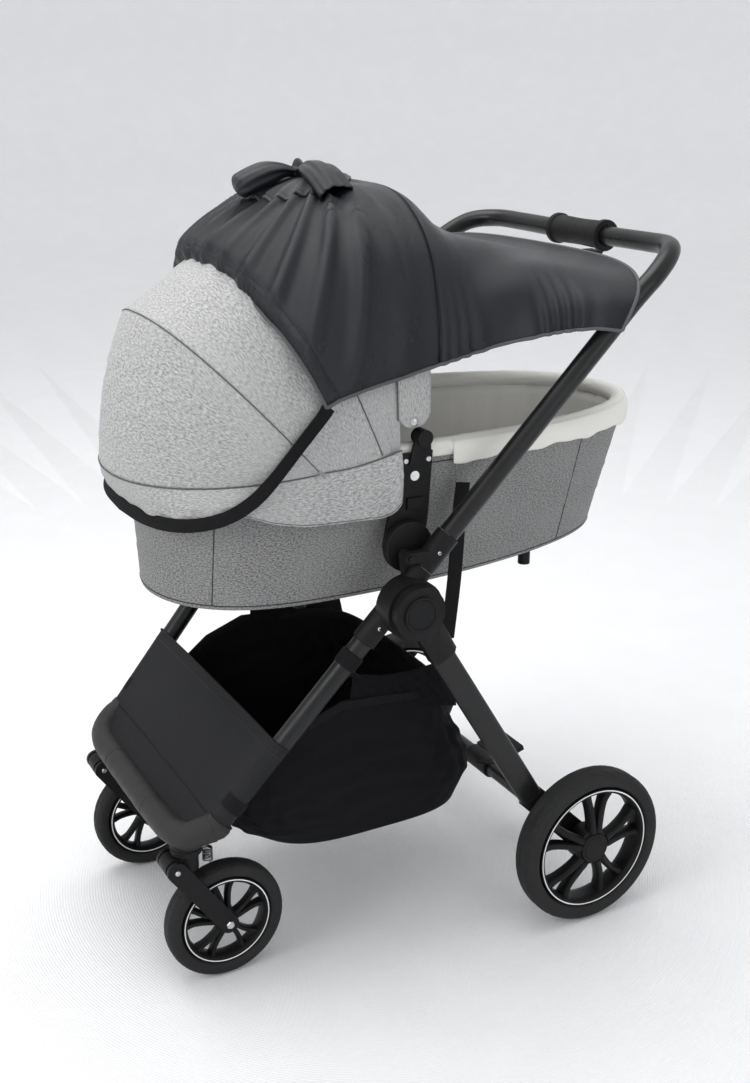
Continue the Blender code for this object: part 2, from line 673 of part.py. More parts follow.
def buildBassinet():
    rise = TUB_TOP - TUB_BOTTOM
    outer = [at(outline(level), TUB_BOTTOM + rise * level) for level in (0.0, 0.5, 1.0)]
    inner = [at(inset(outline(level), TUB_WALL), TUB_BOTTOM + rise * level) for level in (1.0, 0.5)]
    floor = at(inset(outline(0.05), TUB_WALL), TUB_BOTTOM + 0.010)
    keep(loft("bassinet_tub", outer + inner + [floor]), MELANGE_DARK)

    rim = [at(inset(outline(1.0), -0.004), TUB_TOP + GAP), at(inset(outline(1.0), -0.004), TUB_TOP + 0.014)]
    lip = [at(inset(outline(1.0), 0.022), TUB_TOP + 0.014), at(inset(outline(1.0), 0.022), TUB_TOP + GAP)]
    ring = loft("liner_rim", rim + lip, capped=False)
    shape = bmesh.new()
    shape.from_mesh(ring.data)
    capped = [f for f in shape.faces if len(f.verts) > 4]
    bmesh.ops.delete(shape, geom=capped, context="FACES_ONLY")
    edges = [e for e in shape.edges if len(e.link_faces) == 1]
    bmesh.ops.bridge_loops(shape, edges=edges)
    bmesh.ops.recalc_face_normals(shape, faces=shape.faces)
    shape.to_mesh(ring.data)
    shape.free()
    keep(ring, CREAM)

    pad = [
        at(inset(outline(0.1), TUB_WALL + 0.014), TUB_BOTTOM + 0.011),
        at(inset(outline(0.2), TUB_WALL + 0.012), TUB_BOTTOM + 0.022),
        at(inset(outline(0.3), TUB_WALL + 0.016), TUB_BOTTOM + 0.040),
    ]
    keep(loft("mattress", pad), CREAM)

    for row, y in (("front", -0.165), ("rear", 0.200)):
        bar = block(f"tub_feet_{row}", (-0.092, y - 0.008, TUB_BOTTOM - 0.005), (0.092, y + 0.008, TUB_BOTTOM - GAP))
        pegs = [
            rodBetween(
                named(f"tub_peg_{row}", side), (side * 0.085, y, 0.478), (side * 0.085, y, TUB_BOTTOM - 0.002), 0.009,
                16, CUTTERS,
            )
            for side in (1, -1)
        ]
        boolean(bar, pegs, "UNION")
        keep(bar, PLASTIC_BLACK)

    for side in (1, -1):
        plate = hull(
            named("bassinet_bracket", side),
            mirrored(
                [(x, y, 0.7060) for x in (0.1925, 0.1965) for y in (-0.072, -0.024)]
                + [(x, y, 0.6200) for x in (0.1925, 0.1965) for y in (-0.078, -0.030)]
                + discPoints(0.030, 0.1905, 0.1970, *ADAPTER, 20),
                side,
            ),
        )
        pin = rodX(named("hood_pin", side), 0.011, side * 0.1860, side * 0.2060, *HOOD_PIVOT, 16, CUTTERS)
        tab = hull(
            named("pin_tab", side),
            mirrored(
                discPoints(0.011, 0.1964, 0.2005, *HOOD_PIVOT, 16)
                + [(x, y, 0.690) for x in (0.1950, 0.1990) for y in (-0.060, -0.028)],
                side,
            ),
            CUTTERS,
        )
        pocket = hull(
            named("button_pocket", side),
            mirrored([(x, y, z) for x in (0.1938, 0.2100) for y in (-0.0630, -0.0390) for z in (0.6310, 0.6470)], side),
            CUTTERS,
        )
        boolean(plate, [tab, pin], "UNION")
        boolean(plate, [pocket], "DIFFERENCE")
        keep(plate, PLASTIC_BLACK)
        keep(
            hull(
                named("release_button", side),
                mirrored(
                    [(x, y, z) for x in (0.1962, 0.2000) for y in (-0.0625, -0.0395) for z in (0.6315, 0.6465)], side
                ),
            ),
            PLASTIC_BLACK, (side * 0.1962, -0.051, 0.639),
        )
        strap = ribbon(
            named("side_strap", side),
            mirrored([(0.1960, 0.022, 0.655), (0.1985, 0.016, 0.610), (0.2060, 0.006, 0.530), (0.2100, -0.006, 0.446)], side),
            (0.0, 1.0, 0.12), 0.022, 0.0018,
        )
        keep(strap, BASKET_BLACK)


def ribbon(name, points, across, width, thick):
    """A flat strap: a strip of faces along the points, given its thickness by Solidify."""
    across = Vector(across).normalized() * (width / 2)
    shape = bmesh.new()
    rows = [(shape.verts.new(Vector(p) - across), shape.verts.new(Vector(p) + across)) for p in smoothPath(points, 3)]
    for (a, b), (c, d) in zip(rows, rows[1:]):
        shape.faces.new((a, b, d, c))
    thing = fromBmesh(name, shape)
    wall = thing.modifiers.new("thickness", "SOLIDIFY")
    wall.thickness = thick
    wall.offset = 0.0
    return thing


def hoodShell(name, start, end, radius, half, wall, low, power=2.9, steps=4, count=16):
    """A curved band turned about the hood's pivots, from one angle to another above the foot end."""
    shape = bmesh.new()
    line = []
    first = math.asin((low / radius) ** (power / 2))
    for i in range(count + 1):
        angle = first + (math.pi - 2 * first) * i / count
        c, s = math.cos(angle), math.sin(angle)
        line.append((math.copysign(half * abs(c) ** (2 / power), c), radius * s ** (2 / power)))
    cosine, sine = math.cos(math.radians(start)), math.sin(math.radians(start))
    verts = [shape.verts.new((x, HOOD_PIVOT[0] + r * cosine, HOOD_PIVOT[1] + r * sine)) for x, r in line]
    edges = [shape.edges.new((a, b)) for a, b in zip(verts, verts[1:])]
    bmesh.ops.spin(
        shape, geom=verts + edges, cent=(0.0, *HOOD_PIVOT), axis=(1.0, 0.0, 0.0),
        angle=math.radians(end - start), steps=steps,
    )
    thing = fromBmesh(name, shape)
    thick = thing.modifiers.new("thickness", "SOLIDIFY")
    thick.thickness = wall
    thick.offset = -1.0
    return thing


def buildHood():
    pivot = (0.0, *HOOD_PIVOT)
    keep(hoodShell("hood_front", 90.0, 121.0, 0.2980, 0.1885, HOOD_WALL, 0.016), MELANGE_LIGHT, pivot)
    keep(hoodShell("hood_middle", 119.0, 150.0, 0.3060, 0.1935, HOOD_WALL, 0.016), MELANGE_LIGHT, pivot)
    keep(hoodShell("hood_rear", 147.0, 192.0, 0.3380, 0.2050, HOOD_WALL, 0.016, 2.7, 5), MELANGE_LIGHT, pivot)
    keep(hoodShell("sunshade_hood", 90.0, 122.0, 0.3120, 0.1960, 0.0018, 0.150), SHADE_BLACK, pivot)


def buildShade():
    """The sunshade's span from the hood to the handle: an arched sheet that narrows in height towards the rear."""
    count, rings = 14, 5
    shape = bmesh.new()
    rows = []
    for j in range(rings + 1):
        v = j / rings
        y = -0.034 + 0.282 * v
        top = 1.0340 - (1.0340 - 0.9260) * v
        hem = 0.8250 + 0.0400 * v
        half = 0.1960 + 0.0310 * v
        power = 2.9 + 0.3 * v
        row = []
        for i in range(count + 1):
            angle = math.pi * i / count
            c, s = math.cos(angle), math.sin(angle)
            x = math.copysign(half * abs(c) ** (2 / power), c)
            row.append(shape.verts.new((x, y, hem + (top - hem) * abs(s) ** (2 / power))))
        rows.append(row)
    for lower, upper in zip(rows, rows[1:]):
        for i in range(count):
            shape.faces.new((lower[i], lower[i + 1], upper[i + 1], upper[i]))
    sheet = fromBmesh("sunshade_panel", shape)
    thick = sheet.modifiers.new("thickness", "SOLIDIFY")
    thick.thickness = 0.0018
    thick.offset = -1.0
    keep(sheet, SHADE_BLACK, (0.0, *HOOD_PIVOT))

    half = [
        (0.2015, -0.180, 0.772), (0.2015, -0.209, 0.743), (0.1985, -0.252, 0.697), (0.1925, -0.277, 0.673),
        (0.1800, -0.303, 0.657), (0.1560, -0.3335, 0.646), (0.1200, -0.356, 0.641), (0.0700, -0.368, 0.639),
        (0.0, -0.373, 0.638),
    ]
    route = half + [(-x, y, z) for x, y, z in reversed(half[:-1])]
    keep(ribbon("shade_strap", route, (0.0, 0.35, 1.0), STRAP_WIDTH, 0.0018), SHADE_BLACK)


def buildBasket():
    """An open-topped fabric basket: a side profile across the width, hollowed from above."""
    profile = [
        (-0.318, 0.246), (-0.292, 0.196), (-0.250, 0.160), (-0.150, 0.152), (0.060, 0.156),
        (0.078, 0.172), (0.080, 0.205), (0.044, 0.265), (0.026, 0.335), (-0.160, 0.345),
    ]
    half, wall = 0.172, 0.003
    body = hull("basket", [(x, y, z) for x in (-half, half) for y, z in profile])
    inner = [(y * 0.985 - 0.0008, z + 0.004) for y, z in profile]
    hollow = hull(
        "basket_hollow",
        [(x, y, z) for x in (-half + wall, half - wall) for y, z in inner]
        + [(x, y, 0.400) for x in (-half + wall, half - wall) for y in (-0.180, 0.015)],
        CUTTERS,
    )
    boolean(body, [hollow], "DIFFERENCE")
    keep(body, BASKET_BLACK)


buildRearWheels()
buildFrontWheels()
buildCasters()
buildLowerFrame()
buildHubs()
buildRearFrame()
buildHandle()
buildBassinet()
buildHood()
buildShade()
buildBasket()
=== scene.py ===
import math
import bpy
import bmesh
import numpy as np
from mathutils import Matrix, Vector


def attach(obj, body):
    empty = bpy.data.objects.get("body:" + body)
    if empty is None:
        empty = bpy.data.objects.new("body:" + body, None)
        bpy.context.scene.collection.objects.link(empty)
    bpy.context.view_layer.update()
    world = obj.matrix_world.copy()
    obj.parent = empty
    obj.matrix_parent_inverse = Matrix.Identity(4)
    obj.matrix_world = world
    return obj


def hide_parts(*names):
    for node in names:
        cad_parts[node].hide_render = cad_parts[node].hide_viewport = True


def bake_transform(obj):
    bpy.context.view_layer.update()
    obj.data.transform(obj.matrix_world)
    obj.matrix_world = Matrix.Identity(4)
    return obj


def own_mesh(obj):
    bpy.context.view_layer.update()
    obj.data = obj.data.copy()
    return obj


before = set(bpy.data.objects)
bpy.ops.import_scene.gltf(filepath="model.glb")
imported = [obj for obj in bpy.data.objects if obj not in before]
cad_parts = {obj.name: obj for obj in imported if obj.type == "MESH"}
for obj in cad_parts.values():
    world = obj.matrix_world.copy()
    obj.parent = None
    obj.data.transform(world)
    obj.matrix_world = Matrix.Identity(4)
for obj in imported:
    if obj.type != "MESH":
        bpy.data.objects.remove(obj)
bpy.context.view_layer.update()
sides = ((1, "left"), (-1, "right"))
print("frame:", len(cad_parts), "CAD pieces")


# camera, floor and lights

studio = {
    "cameraAt": (1.65762, -0.89065, 1.16900), "azimuth": 61.83, "elevation": 17.57,
    "lens": 45.58, "shift": -0.0336, "floorColour": (0.93, 0.93, 0.94), "skyStrength": 0.80,
}
camera = bpy.data.cameras.new("studioCamera")
camera.lens, camera.sensor_width, camera.shift_y = studio["lens"], 36.0, studio["shift"]
cameraObject = bpy.data.objects.new("studioCamera", camera)
cameraObject.location = studio["cameraAt"]
cameraObject.rotation_euler = (math.radians(90 - studio["elevation"]), 0.0, math.radians(studio["azimuth"]))
bpy.context.scene.collection.objects.link(cameraObject)
bpy.context.scene.camera = cameraObject

bpy.context.scene.view_settings.view_transform = "Standard"
world = bpy.data.worlds.new("studioSky")
bpy.context.scene.world = world
world.use_nodes = True
world.node_tree.nodes["Background"].inputs["Color"].default_value = (0.97, 0.985, 1.0, 1.0)
world.node_tree.nodes["Background"].inputs["Strength"].default_value = studio["skyStrength"]


def softLight(name, at, towards, size, watts, colour=(1.0, 1.0, 1.0)):
    lamp = bpy.data.lights.new(name, "AREA")
    lamp.shape, lamp.size, lamp.energy, lamp.color = "DISK", size, watts, colour
    holder = bpy.data.objects.new(name, lamp)
    holder.location = at
    holder.rotation_euler = (Vector(towards) - Vector(at)).to_track_quat("-Z", "Y").to_euler()
    bpy.context.scene.collection.objects.link(holder)


softLight("overheadSoftbox", (-0.5, -0.3, 3.1), (0.0, 0.0, 0.5), 2.6, 60)
softLight("headEndSoftbox", (0.6, -3.2, 2.0), (0.0, 0.0, 0.6), 2.0, 36)
softLight("nearFill", (3.4, 0.8, 1.6), (0.0, 0.0, 0.5), 2.4, 16, (0.96, 0.98, 1.0))


# surfaces: each is a grid of points worked out as whole arrays

def unit(v):
    return v / np.maximum(np.linalg.norm(v, axis=-1, keepdims=True), 1e-12)


def swell(wave, power):
    # a sine or cosine squared off: its size to the power 2/power, its sign kept
    return np.sign(wave) * np.abs(wave) ** (2 / power)


def step(value, low, high):
    # 0 below low, 1 above high, an S-curve between
    t = np.clip((value - low) / (high - low), 0, 1)
    return t * t * (3 - 2 * t)


def spread(line, count):
    # the same line with its points at equal distances
    run = np.concatenate([[0], np.cumsum(np.linalg.norm(np.diff(line, axis=0), axis=1))])
    return np.stack([np.interp(np.linspace(0, run[-1], count), run,
                               line[:, k]) for k in range(line.shape[1])], -1)


def smoothLine(points, count):
    # a Catmull-Rom cubic through the points, then spread evenly
    p = np.asarray(points, float)
    p = np.vstack([2 * p[0] - p[1], p, 2 * p[-1] - p[-2]])
    t = np.linspace(0, len(p) - 3, (len(p) - 3) * 24 + 1)
    k = np.minimum(t.astype(int), len(p) - 4)
    f = (t - k)[:, None]
    a, b, c, d = p[k], p[k + 1], p[k + 2], p[k + 3]
    return spread(0.5 * (2 * b + (c - a) * f + (2 * a - 5 * b + 4 * c - d) * f**2 + (3 * b - a - 3 * c + d)
                         * f**3), count)


def bothSides(half):
    # a line given from +X to the middle, with its mirror image added
    half = np.asarray(half, float)
    return np.vstack([half, half[-2::-1] * [-1, 1, 1]])


def pillow(width, height, power=2.0, count=24):
    # a closed section: cosine and sine squared off by the power; 2 is an ellipse
    a = np.arange(count) * 2 * np.pi / count
    return np.stack([width / 2 * swell(np.cos(a), power), height / 2 * swell(np.sin(a), power)], -1)


def sweep(path, section, up=(0, 0, 1), scale=1.0):
    # the section carried along the path, square to it; scale is a number or one per path point
    path = np.asarray(path, float)
    along = unit(np.gradient(path, axis=0))
    across = unit(np.cross(along, np.broadcast_to(np.asarray(up, float), path.shape)))
    lift = np.cross(across, along)
    size = np.broadcast_to(np.asarray(scale, float).reshape(-1, 1), (len(path), len(section)))
    return path[:, None] + (size * section[:, 0])[..., None] * across[:, None] + (size * section[:, 1])[...,
        None] * lift[:, None]


def lathe(profile, centre, count=64, axis=(1, 0, 0)):
    # a profile of (radius, distance along the axis) turned about the axis
    profile, axis = np.asarray(profile, float), np.asarray(axis, float)
    one = unit(np.cross(axis, (0.0, 0.31, 0.95)))
    two = np.cross(axis, one)
    a = (np.arange(count) * 2 * np.pi / count)[None, :, None]
    return np.asarray(centre, float) + profile[:, None, 1:] * axis + profile[:, None,
        :1] * (np.cos(a) * one + np.sin(a) * two)


def patch(places, wrapRows=False, wrapCols=False, caps=False, finish=0):
    # quads between neighbouring points of the grid; UV is the distance along the surface in metres
    rows, cols = places.shape[:2]
    i, j = np.meshgrid(np.arange(rows - (not wrapRows)), np.arange(cols - (not wrapCols)), indexing="ij")
    ci, cj = np.stack([i, i, i + 1, i + 1], -1).reshape(-1, 4), np.stack([j, j + 1, j + 1, j],
        -1).reshape(-1, 4)
    faces = ((ci % rows) * cols + cj % cols).tolist()
    wide = np.linalg.norm(np.roll(places, -1, 1) - places, axis=2).mean(0)
    tall = np.linalg.norm(np.roll(places, -1, 0) - places, axis=2).mean(1)
    u, v = np.concatenate([[0], np.cumsum(wide)]), np.concatenate([[0], np.cumsum(tall)])
    uv = np.stack([u[cj], v[ci]], -1).reshape(-1, 2)
    if caps:
        faces += [list(range(cols))[::-1], list(range((rows - 1) * cols, rows * cols))]
        uv = np.vstack([uv, np.zeros((2 * cols, 2))])
    return {"points": places.reshape(-1, 3), "faces": faces, "uv": uv, "finish": finish}


def turned(profile, centre, count=64, axis=(1, 0, 0), finish=0):
    # a closed profile turned into a solid ring
    return patch(lathe(profile, centre, count, axis), True, True, finish=finish)


def swept(path, section, up=(0, 0, 1), scale=1.0):
    # a solid bar with its ends capped
    return patch(sweep(path, section, up, scale), wrapCols=True, caps=True)


def make(name, patches, finishes, closed=True, sharp=38, outFrom=None):
    # one mesh object from its patches; a closed one gets its faces turned outwards
    points, faces, slots, first = [], [], [], 0
    for one in patches:
        faces += [[first + k for k in face] for face in one["faces"]]
        slots += [one["finish"]] * len(one["faces"])
        points.append(one["points"])
        first += len(one["points"])
    mesh = bpy.data.meshes.new(name)
    mesh.from_pydata(np.vstack(points).tolist(), [], faces)
    mesh.uv_layers.new(name="clothUV").data.foreach_set("uv",
                                                        np.vstack([one["uv"] for one in patches]).ravel())
    mesh.polygons.foreach_set("material_index", slots)
    for one in finishes:
        mesh.materials.append(one.material)
    shape = bmesh.new()
    shape.from_mesh(mesh)
    bmesh.ops.remove_doubles(shape, verts=shape.verts, dist=2e-6)
    if closed:
        bmesh.ops.recalc_face_normals(shape, faces=shape.faces)
    elif outFrom is not None:
        centre = Vector(outFrom)
        if sum((f.calc_center_median() - centre).dot(f.normal) * f.calc_area() for f in shape.faces) < 0:
            bmesh.ops.reverse_faces(shape, faces=shape.faces)
    shape.to_mesh(mesh)
    shape.free()
    mesh.shade_smooth()
    mesh.set_sharp_from_angle(angle=math.radians(sharp))
    made = bpy.data.objects.new(name, mesh)
    bpy.context.scene.collection.objects.link(made)
    return made


def thicken(made, thick, offset=-1.0):
    wall = made.modifiers.new("clothWall", "SOLIDIFY")
    wall.thickness, wall.offset, wall.use_even_offset = thick, offset, False
    return made


def settle(made, body, slot, *nodes):
    # hangs a finished piece on its body and hides the CAD pieces it stands for; its finish slot is not used
    if nodes:
        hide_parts(*nodes)
    if body:
        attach(made, body)
    return made


# materials

class Signal:
    # a shader socket that takes + - * / and comparisons, each one a Math node
    def __init__(self, finish, socket):
        self.finish, self.socket = finish, socket

    def __add__(self, other): return self.finish.maths("ADD", self, other)
    def __radd__(self, other): return self.finish.maths("ADD", other, self)
    def __sub__(self, other): return self.finish.maths("SUBTRACT", self, other)
    def __rsub__(self, other): return self.finish.maths("SUBTRACT", other, self)
    def __mul__(self, other): return self.finish.maths("MULTIPLY", self, other)
    def __rmul__(self, other): return self.finish.maths("MULTIPLY", other, self)
    def __pow__(self, other): return self.finish.maths("POWER", self, other)
    def __gt__(self, other): return self.finish.maths("GREATER_THAN", self, other)


class Finish:
    # one material: a shader with fixed values, and the nodes that vary its colour, roughness and bump
    def __init__(self, name, colour, roughness, fixed=None):
        self.material = bpy.data.materials.new(name)
        self.material.use_nodes = True
        self.tree = self.material.node_tree
        self.shader = self.tree.nodes["Principled BSDF"]
        self.shader.inputs["Base Color"].default_value = (*colour, 1.0)
        self.shader.inputs["Roughness"].default_value = roughness
        self.colour = colour
        for socket, value in (fixed or {}).items():
            self.shader.inputs[socket].default_value = value

    def node(self, kind, settings=None, inputs=None, output=0):
        made = self.tree.nodes.new(kind)
        for key, value in (settings or {}).items():
            setattr(made, key, value)
        for key, value in (inputs or {}).items():
            if isinstance(value, Signal):
                self.tree.links.new(value.socket, made.inputs[key])
            else:
                made.inputs[key].default_value = value
        return Signal(self, made.outputs[output])

    def maths(self, operation, a, b=0.0):
        return self.node("ShaderNodeMath", {"operation": operation}, {0: a, 1: b})

    def coords(self, scale=(1, 1, 1), uv=False, turn=(0, 0, 0)):
        start = self.node("ShaderNodeTexCoord", output="UV" if uv else "Object")
        return self.node("ShaderNodeMapping", None, {"Vector": start, "Scale": scale, "Rotation": turn})

    def noise(self, where, scale=1.0, detail=2.0, rough=0.5):
        return self.node("ShaderNodeTexNoise", None,
                         {"Vector": where, "Scale": scale, "Detail": detail, "Roughness": rough})

    def cells(self, where, scale=1.0, feature="F1"):
        return self.node("ShaderNodeTexVoronoi", {"feature": feature}, {"Vector": where, "Scale": scale})

    def split(self, where, axis):
        return self.node("ShaderNodeSeparateXYZ", None, {"Vector": where}, axis)

    def wave(self, value, pitch):
        # 0 to 1 and back once per pitch, in metres
        return self.maths("SINE", value * (2 * math.pi / pitch)) * 0.5 + 0.5

    def span(self, value, low, high, first=0.0, last=1.0):
        return self.node("ShaderNodeMapRange", {"interpolation_type": "SMOOTHSTEP"},
                         {0: value, 1: low, 2: high, 3: first, 4: last})

    def blend(self, factor, first, second, mode="MIX"):
        return self.node(
            "ShaderNodeMix", {"data_type": "RGBA", "blend_type": mode},
            {0: factor, 6: first if isinstance(first, Signal) else (*first, 1.0),
             7: second if isinstance(second, Signal) else (*second, 1.0)}, 2,
        )

    def feed(self, colour=None, roughness=None, height=None, depth=0.001, strength=0.5):
        if colour is not None:
            self.tree.links.new(colour.socket, self.shader.inputs["Base Color"])
        if roughness is not None:
            self.tree.links.new(roughness.socket, self.shader.inputs["Roughness"])
        if height is not None:
            bump = self.node("ShaderNodeBump", None,
                             {"Height": height, "Distance": depth, "Strength": strength})
            self.tree.links.new(bump.socket, self.shader.inputs["Normal"])
        return self


def tint(colour, gain):
    return tuple(min(1.0, c * gain) for c in colour)


def melange(name, light, dark, streak, contrast):
    # light and dark threads: noise stretched along the cloth, flecked by a finer one, over a plain weave
    made = Finish(name, light, 0.92, {"Sheen Weight": 0.06, "Sheen Roughness": 0.5,
                                      "Specular IOR Level": 0.25})
    long = made.noise(made.coords((560 / streak, 560, 1), uv=True), 1.0, 3.0, 0.75)
    fine = made.noise(made.coords((1500, 1500, 1), uv=True), 1.0, 2.0, 0.7)
    slow = made.noise(made.coords((14, 14, 14)), 1.0, 2.0)
    threads = made.span(long * 0.62 + fine * 0.38, 0.5 - contrast, 0.5 + contrast)
    cloth = made.blend(threads, dark, light)
    cloth = made.blend(made.span(slow, 0.35, 0.7, 0.0, 0.28), cloth, tint(light, 0.72))
    flat = made.coords(uv=True)
    weave = made.wave(made.split(flat, 0), 0.0016) * made.wave(made.split(flat, 1), 0.0016)
    return made.feed(cloth, made.span(fine, 0.3, 0.7, 0.86, 0.97), weave * 0.4 + threads * 0.6, 0.0004, 0.40)


def wovenCloth(name, colour, roughness, pitch, fixed=None, lift=1.35, dust=0.25):
    # a plain weave of two crossing sine waves, the colour lifted on worn and dusty patches
    made = Finish(name, colour, roughness, fixed)
    flat = made.coords(uv=True)
    weave = made.wave(made.split(flat, 0), pitch) + made.wave(made.split(flat, 1), pitch)
    slow = made.noise(made.coords((9, 9, 9)), 1.0, 4.0, 0.6)
    fleck = made.noise(made.coords((650, 650, 1), uv=True), 1.0, 2.0)
    shade = made.blend(made.span(slow, 0.35, 0.75), colour, tint(colour, lift))
    shade = made.blend(made.span(fleck, 0.55, 0.75, 0.0, dust), shade, tint(colour, 2.2))
    return made.feed(shade, made.span(slow, 0.3, 0.7, roughness - 0.05, min(1.0, roughness + 0.05)), weave,
                     pitch * 0.35, 0.5)


def moulded(name, colour, roughness, grain, depth, fixed=None):
    # fine spark grain in moulded plastic, with slightly polished and scuffed patches
    made = Finish(name, colour, roughness, fixed)
    where = made.coords()
    spark = made.noise(where, grain, 3.0, 0.6)
    slow = made.noise(where, 22.0, 4.0, 0.6)
    shade = made.blend(made.span(slow, 0.4, 0.8), colour, tint(colour, 1.5))
    return made.feed(shade, made.span(slow, 0.3, 0.75, roughness - 0.07, roughness + 0.10), spark, depth,
                     0.35)


hoodMelange = melange("hoodMelange", (0.58, 0.58, 0.57), (0.145, 0.145, 0.148), 3.2, 0.17)
tubMelange = melange("tubMelange", (0.36, 0.36, 0.355), (0.040, 0.040, 0.042), 1.7, 0.13)
shadeCloth = wovenCloth("shadeSatin", (0.0080, 0.0090, 0.0120), 0.31, 0.0009,
                        {"Sheen Weight": 0.0, "Specular IOR Level": 0.36}, 1.25, 0.05)
windowMesh = wovenCloth("windowMesh", (0.045, 0.046, 0.050), 0.7, 0.0022, {"Sheen Weight": 0.05})
pipingGrey = wovenCloth("elasticPiping", (0.075, 0.075, 0.080), 0.75, 0.0012, {"Sheen Weight": 0.05})
webbing = wovenCloth("blackWebbing", (0.0065, 0.0065, 0.0072), 0.72, 0.0018,
                     {"Sheen Weight": 0.0, "Specular IOR Level": 0.12})
basketCloth = wovenCloth("basketPolyester", (0.0050, 0.0050, 0.0060), 0.82, 0.0014,
                         {"Sheen Weight": 0.0, "Specular IOR Level": 0.12}, 1.5)
footrestCloth = wovenCloth("footrestPolyester", (0.0150, 0.0150, 0.0168), 0.66, 0.0013,
                           {"Sheen Weight": 0.0, "Specular IOR Level": 0.14}, 1.3)
hoodThread = wovenCloth("hoodThread", (0.085, 0.085, 0.088), 0.85, 0.0008)
threadDark = wovenCloth("seamThread", (0.020, 0.020, 0.022), 0.8, 0.0008)
linerCotton = wovenCloth("creamCotton", (0.80, 0.785, 0.74), 0.88, 0.0011, {"Sheen Weight": 0.3}, 1.04, 0.0)
tubePaint = moulded("satinTubePaint", (0.0060, 0.0060, 0.0064), 0.33, 900.0, 0.0001,
                    {"Specular IOR Level": 0.34})
blackPlastic = moulded("blackNylon", (0.0065, 0.0065, 0.0070), 0.46, 1400.0, 0.0002,
                       {"Specular IOR Level": 0.17})
tyreRubber = moulded("tyreRubber", (0.0185, 0.0185, 0.0190), 0.70, 700.0, 0.0003,
                     {"Specular IOR Level": 0.18})
gripFoam = moulded("gripRubber", (0.0100, 0.0100, 0.0105), 0.62, 1600.0, 0.0004, {"Specular IOR Level": 0.2})
zincSteel = moulded("zincSteel", (0.52, 0.52, 0.53), 0.32, 500.0, 0.0001, {"Metallic": 1.0})
springSteel = moulded("springSteel", (0.20, 0.20, 0.21), 0.34, 500.0, 0.0001, {"Metallic": 1.0})
whiteTrim = moulded("whiteTrim", (0.72, 0.72, 0.72), 0.42, 600.0, 0.0001)


def leatherette(name, colour):
    # pebbled grain: cell edges raised over a finer noise, worn lighter in patches
    made = Finish(name, colour, 0.52, {"Specular IOR Level": 0.22})
    where = made.coords()
    cells = made.cells(where, 620.0, "DISTANCE_TO_EDGE")
    fine = made.noise(where, 1500.0, 2.0)
    slow = made.noise(where, 30.0, 4.0)
    shade = made.blend(made.span(slow, 0.4, 0.75), colour, tint(colour, 1.35))
    # the grooves at the cell edges are darkened to 0.6 of the colour: painted shade in the grain
    shade = made.blend(made.span(cells, 0.0, 0.12, 0.5, 0.0), shade, tint(colour, 0.6))
    return made.feed(shade, made.span(slow, 0.3, 0.7, 0.46, 0.6), made.span(cells, 0.0, 0.3) + fine * 0.3,
                     0.0004, 0.6)


wrapLeather = leatherette("wrapLeatherette", (0.026, 0.025, 0.0245))
floorPaint = wovenCloth("floorPaper", studio["floorColour"], 0.85, 0.004, None, 1.02, 0.0)

bowl = [(0.001, 0.0), (2.0, 0.0), (4.0, 0.0), (5.5, 0.0), (6.6, 0.12), (7.6, 0.55), (8.4, 1.35), (8.9, 2.5),
        (9.1, 4.2)]
floor = make("studioFloor", [patch(lathe(bowl, (0, 0, 0), 96, (0, 0, 1)), wrapCols=True)], [floorPaint],
             closed=False, sharp=80, outFrom=(0, 0, -30))
print("studio and materials ready")


# wheels

wheels = {
    "rear": {"x": 0.278, "y": 0.193, "radius": 0.115, "rim": 0.0905, "width": 0.040, "hub": 0.027,
             "bore": 0.0066, "turn": 0.2, "ripples": 34},
    "front": {"x": 0.155, "y": -0.317, "radius": 0.083, "rim": 0.0625, "width": 0.030, "hub": 0.0165,
              "bore": 0.0050, "turn": 0.35, "ripples": 26},
}


def tyreGrid(w, side):
    # section: a squared-off oval, with wavy grooves round both shoulders and short cuts across the tread
    a = np.linspace(0, 2 * np.pi, 84, endpoint=False)[:, None]
    b = np.linspace(0, 2 * np.pi, 260, endpoint=False)[None, :]
    middle, half = (w["radius"] + w["rim"]) / 2, (w["radius"] - w["rim"]) / 2
    offset = w["width"] / 2 * swell(np.cos(a), 3.0) + 0 * b
    lift = half * swell(np.sin(a), 2.5)
    wavy = np.abs(np.abs(a - np.pi / 2) - (0.62 + 0.13 * np.sin(w["ripples"] * b)))
    cuts = np.exp(-((np.sin(w["ripples"] * b / 2) / 0.16) ** 2)) * step(-np.abs(a - np.pi / 2), -0.62, -0.45)
    groove = np.exp(-((wavy / 0.055) ** 2)) + 0.8 * np.exp(-((np.abs(a - np.pi / 2)
        / 0.05) ** 2)) + 0.7 * cuts
    sideGroove = 0.25 * np.exp(-((np.abs(np.abs(a - np.pi / 2) - 1.55) / 0.05) ** 2))
    r = middle + lift - 0.0013 * np.clip(groove, 0, 1) - 0.001 * sideGroove
    r = np.clip(r, w["rim"] - 0.0004, None)
    return np.stack([side * w["x"] + offset, w["y"] + r * np.cos(b), w["radius"] + r * np.sin(b)], -1)


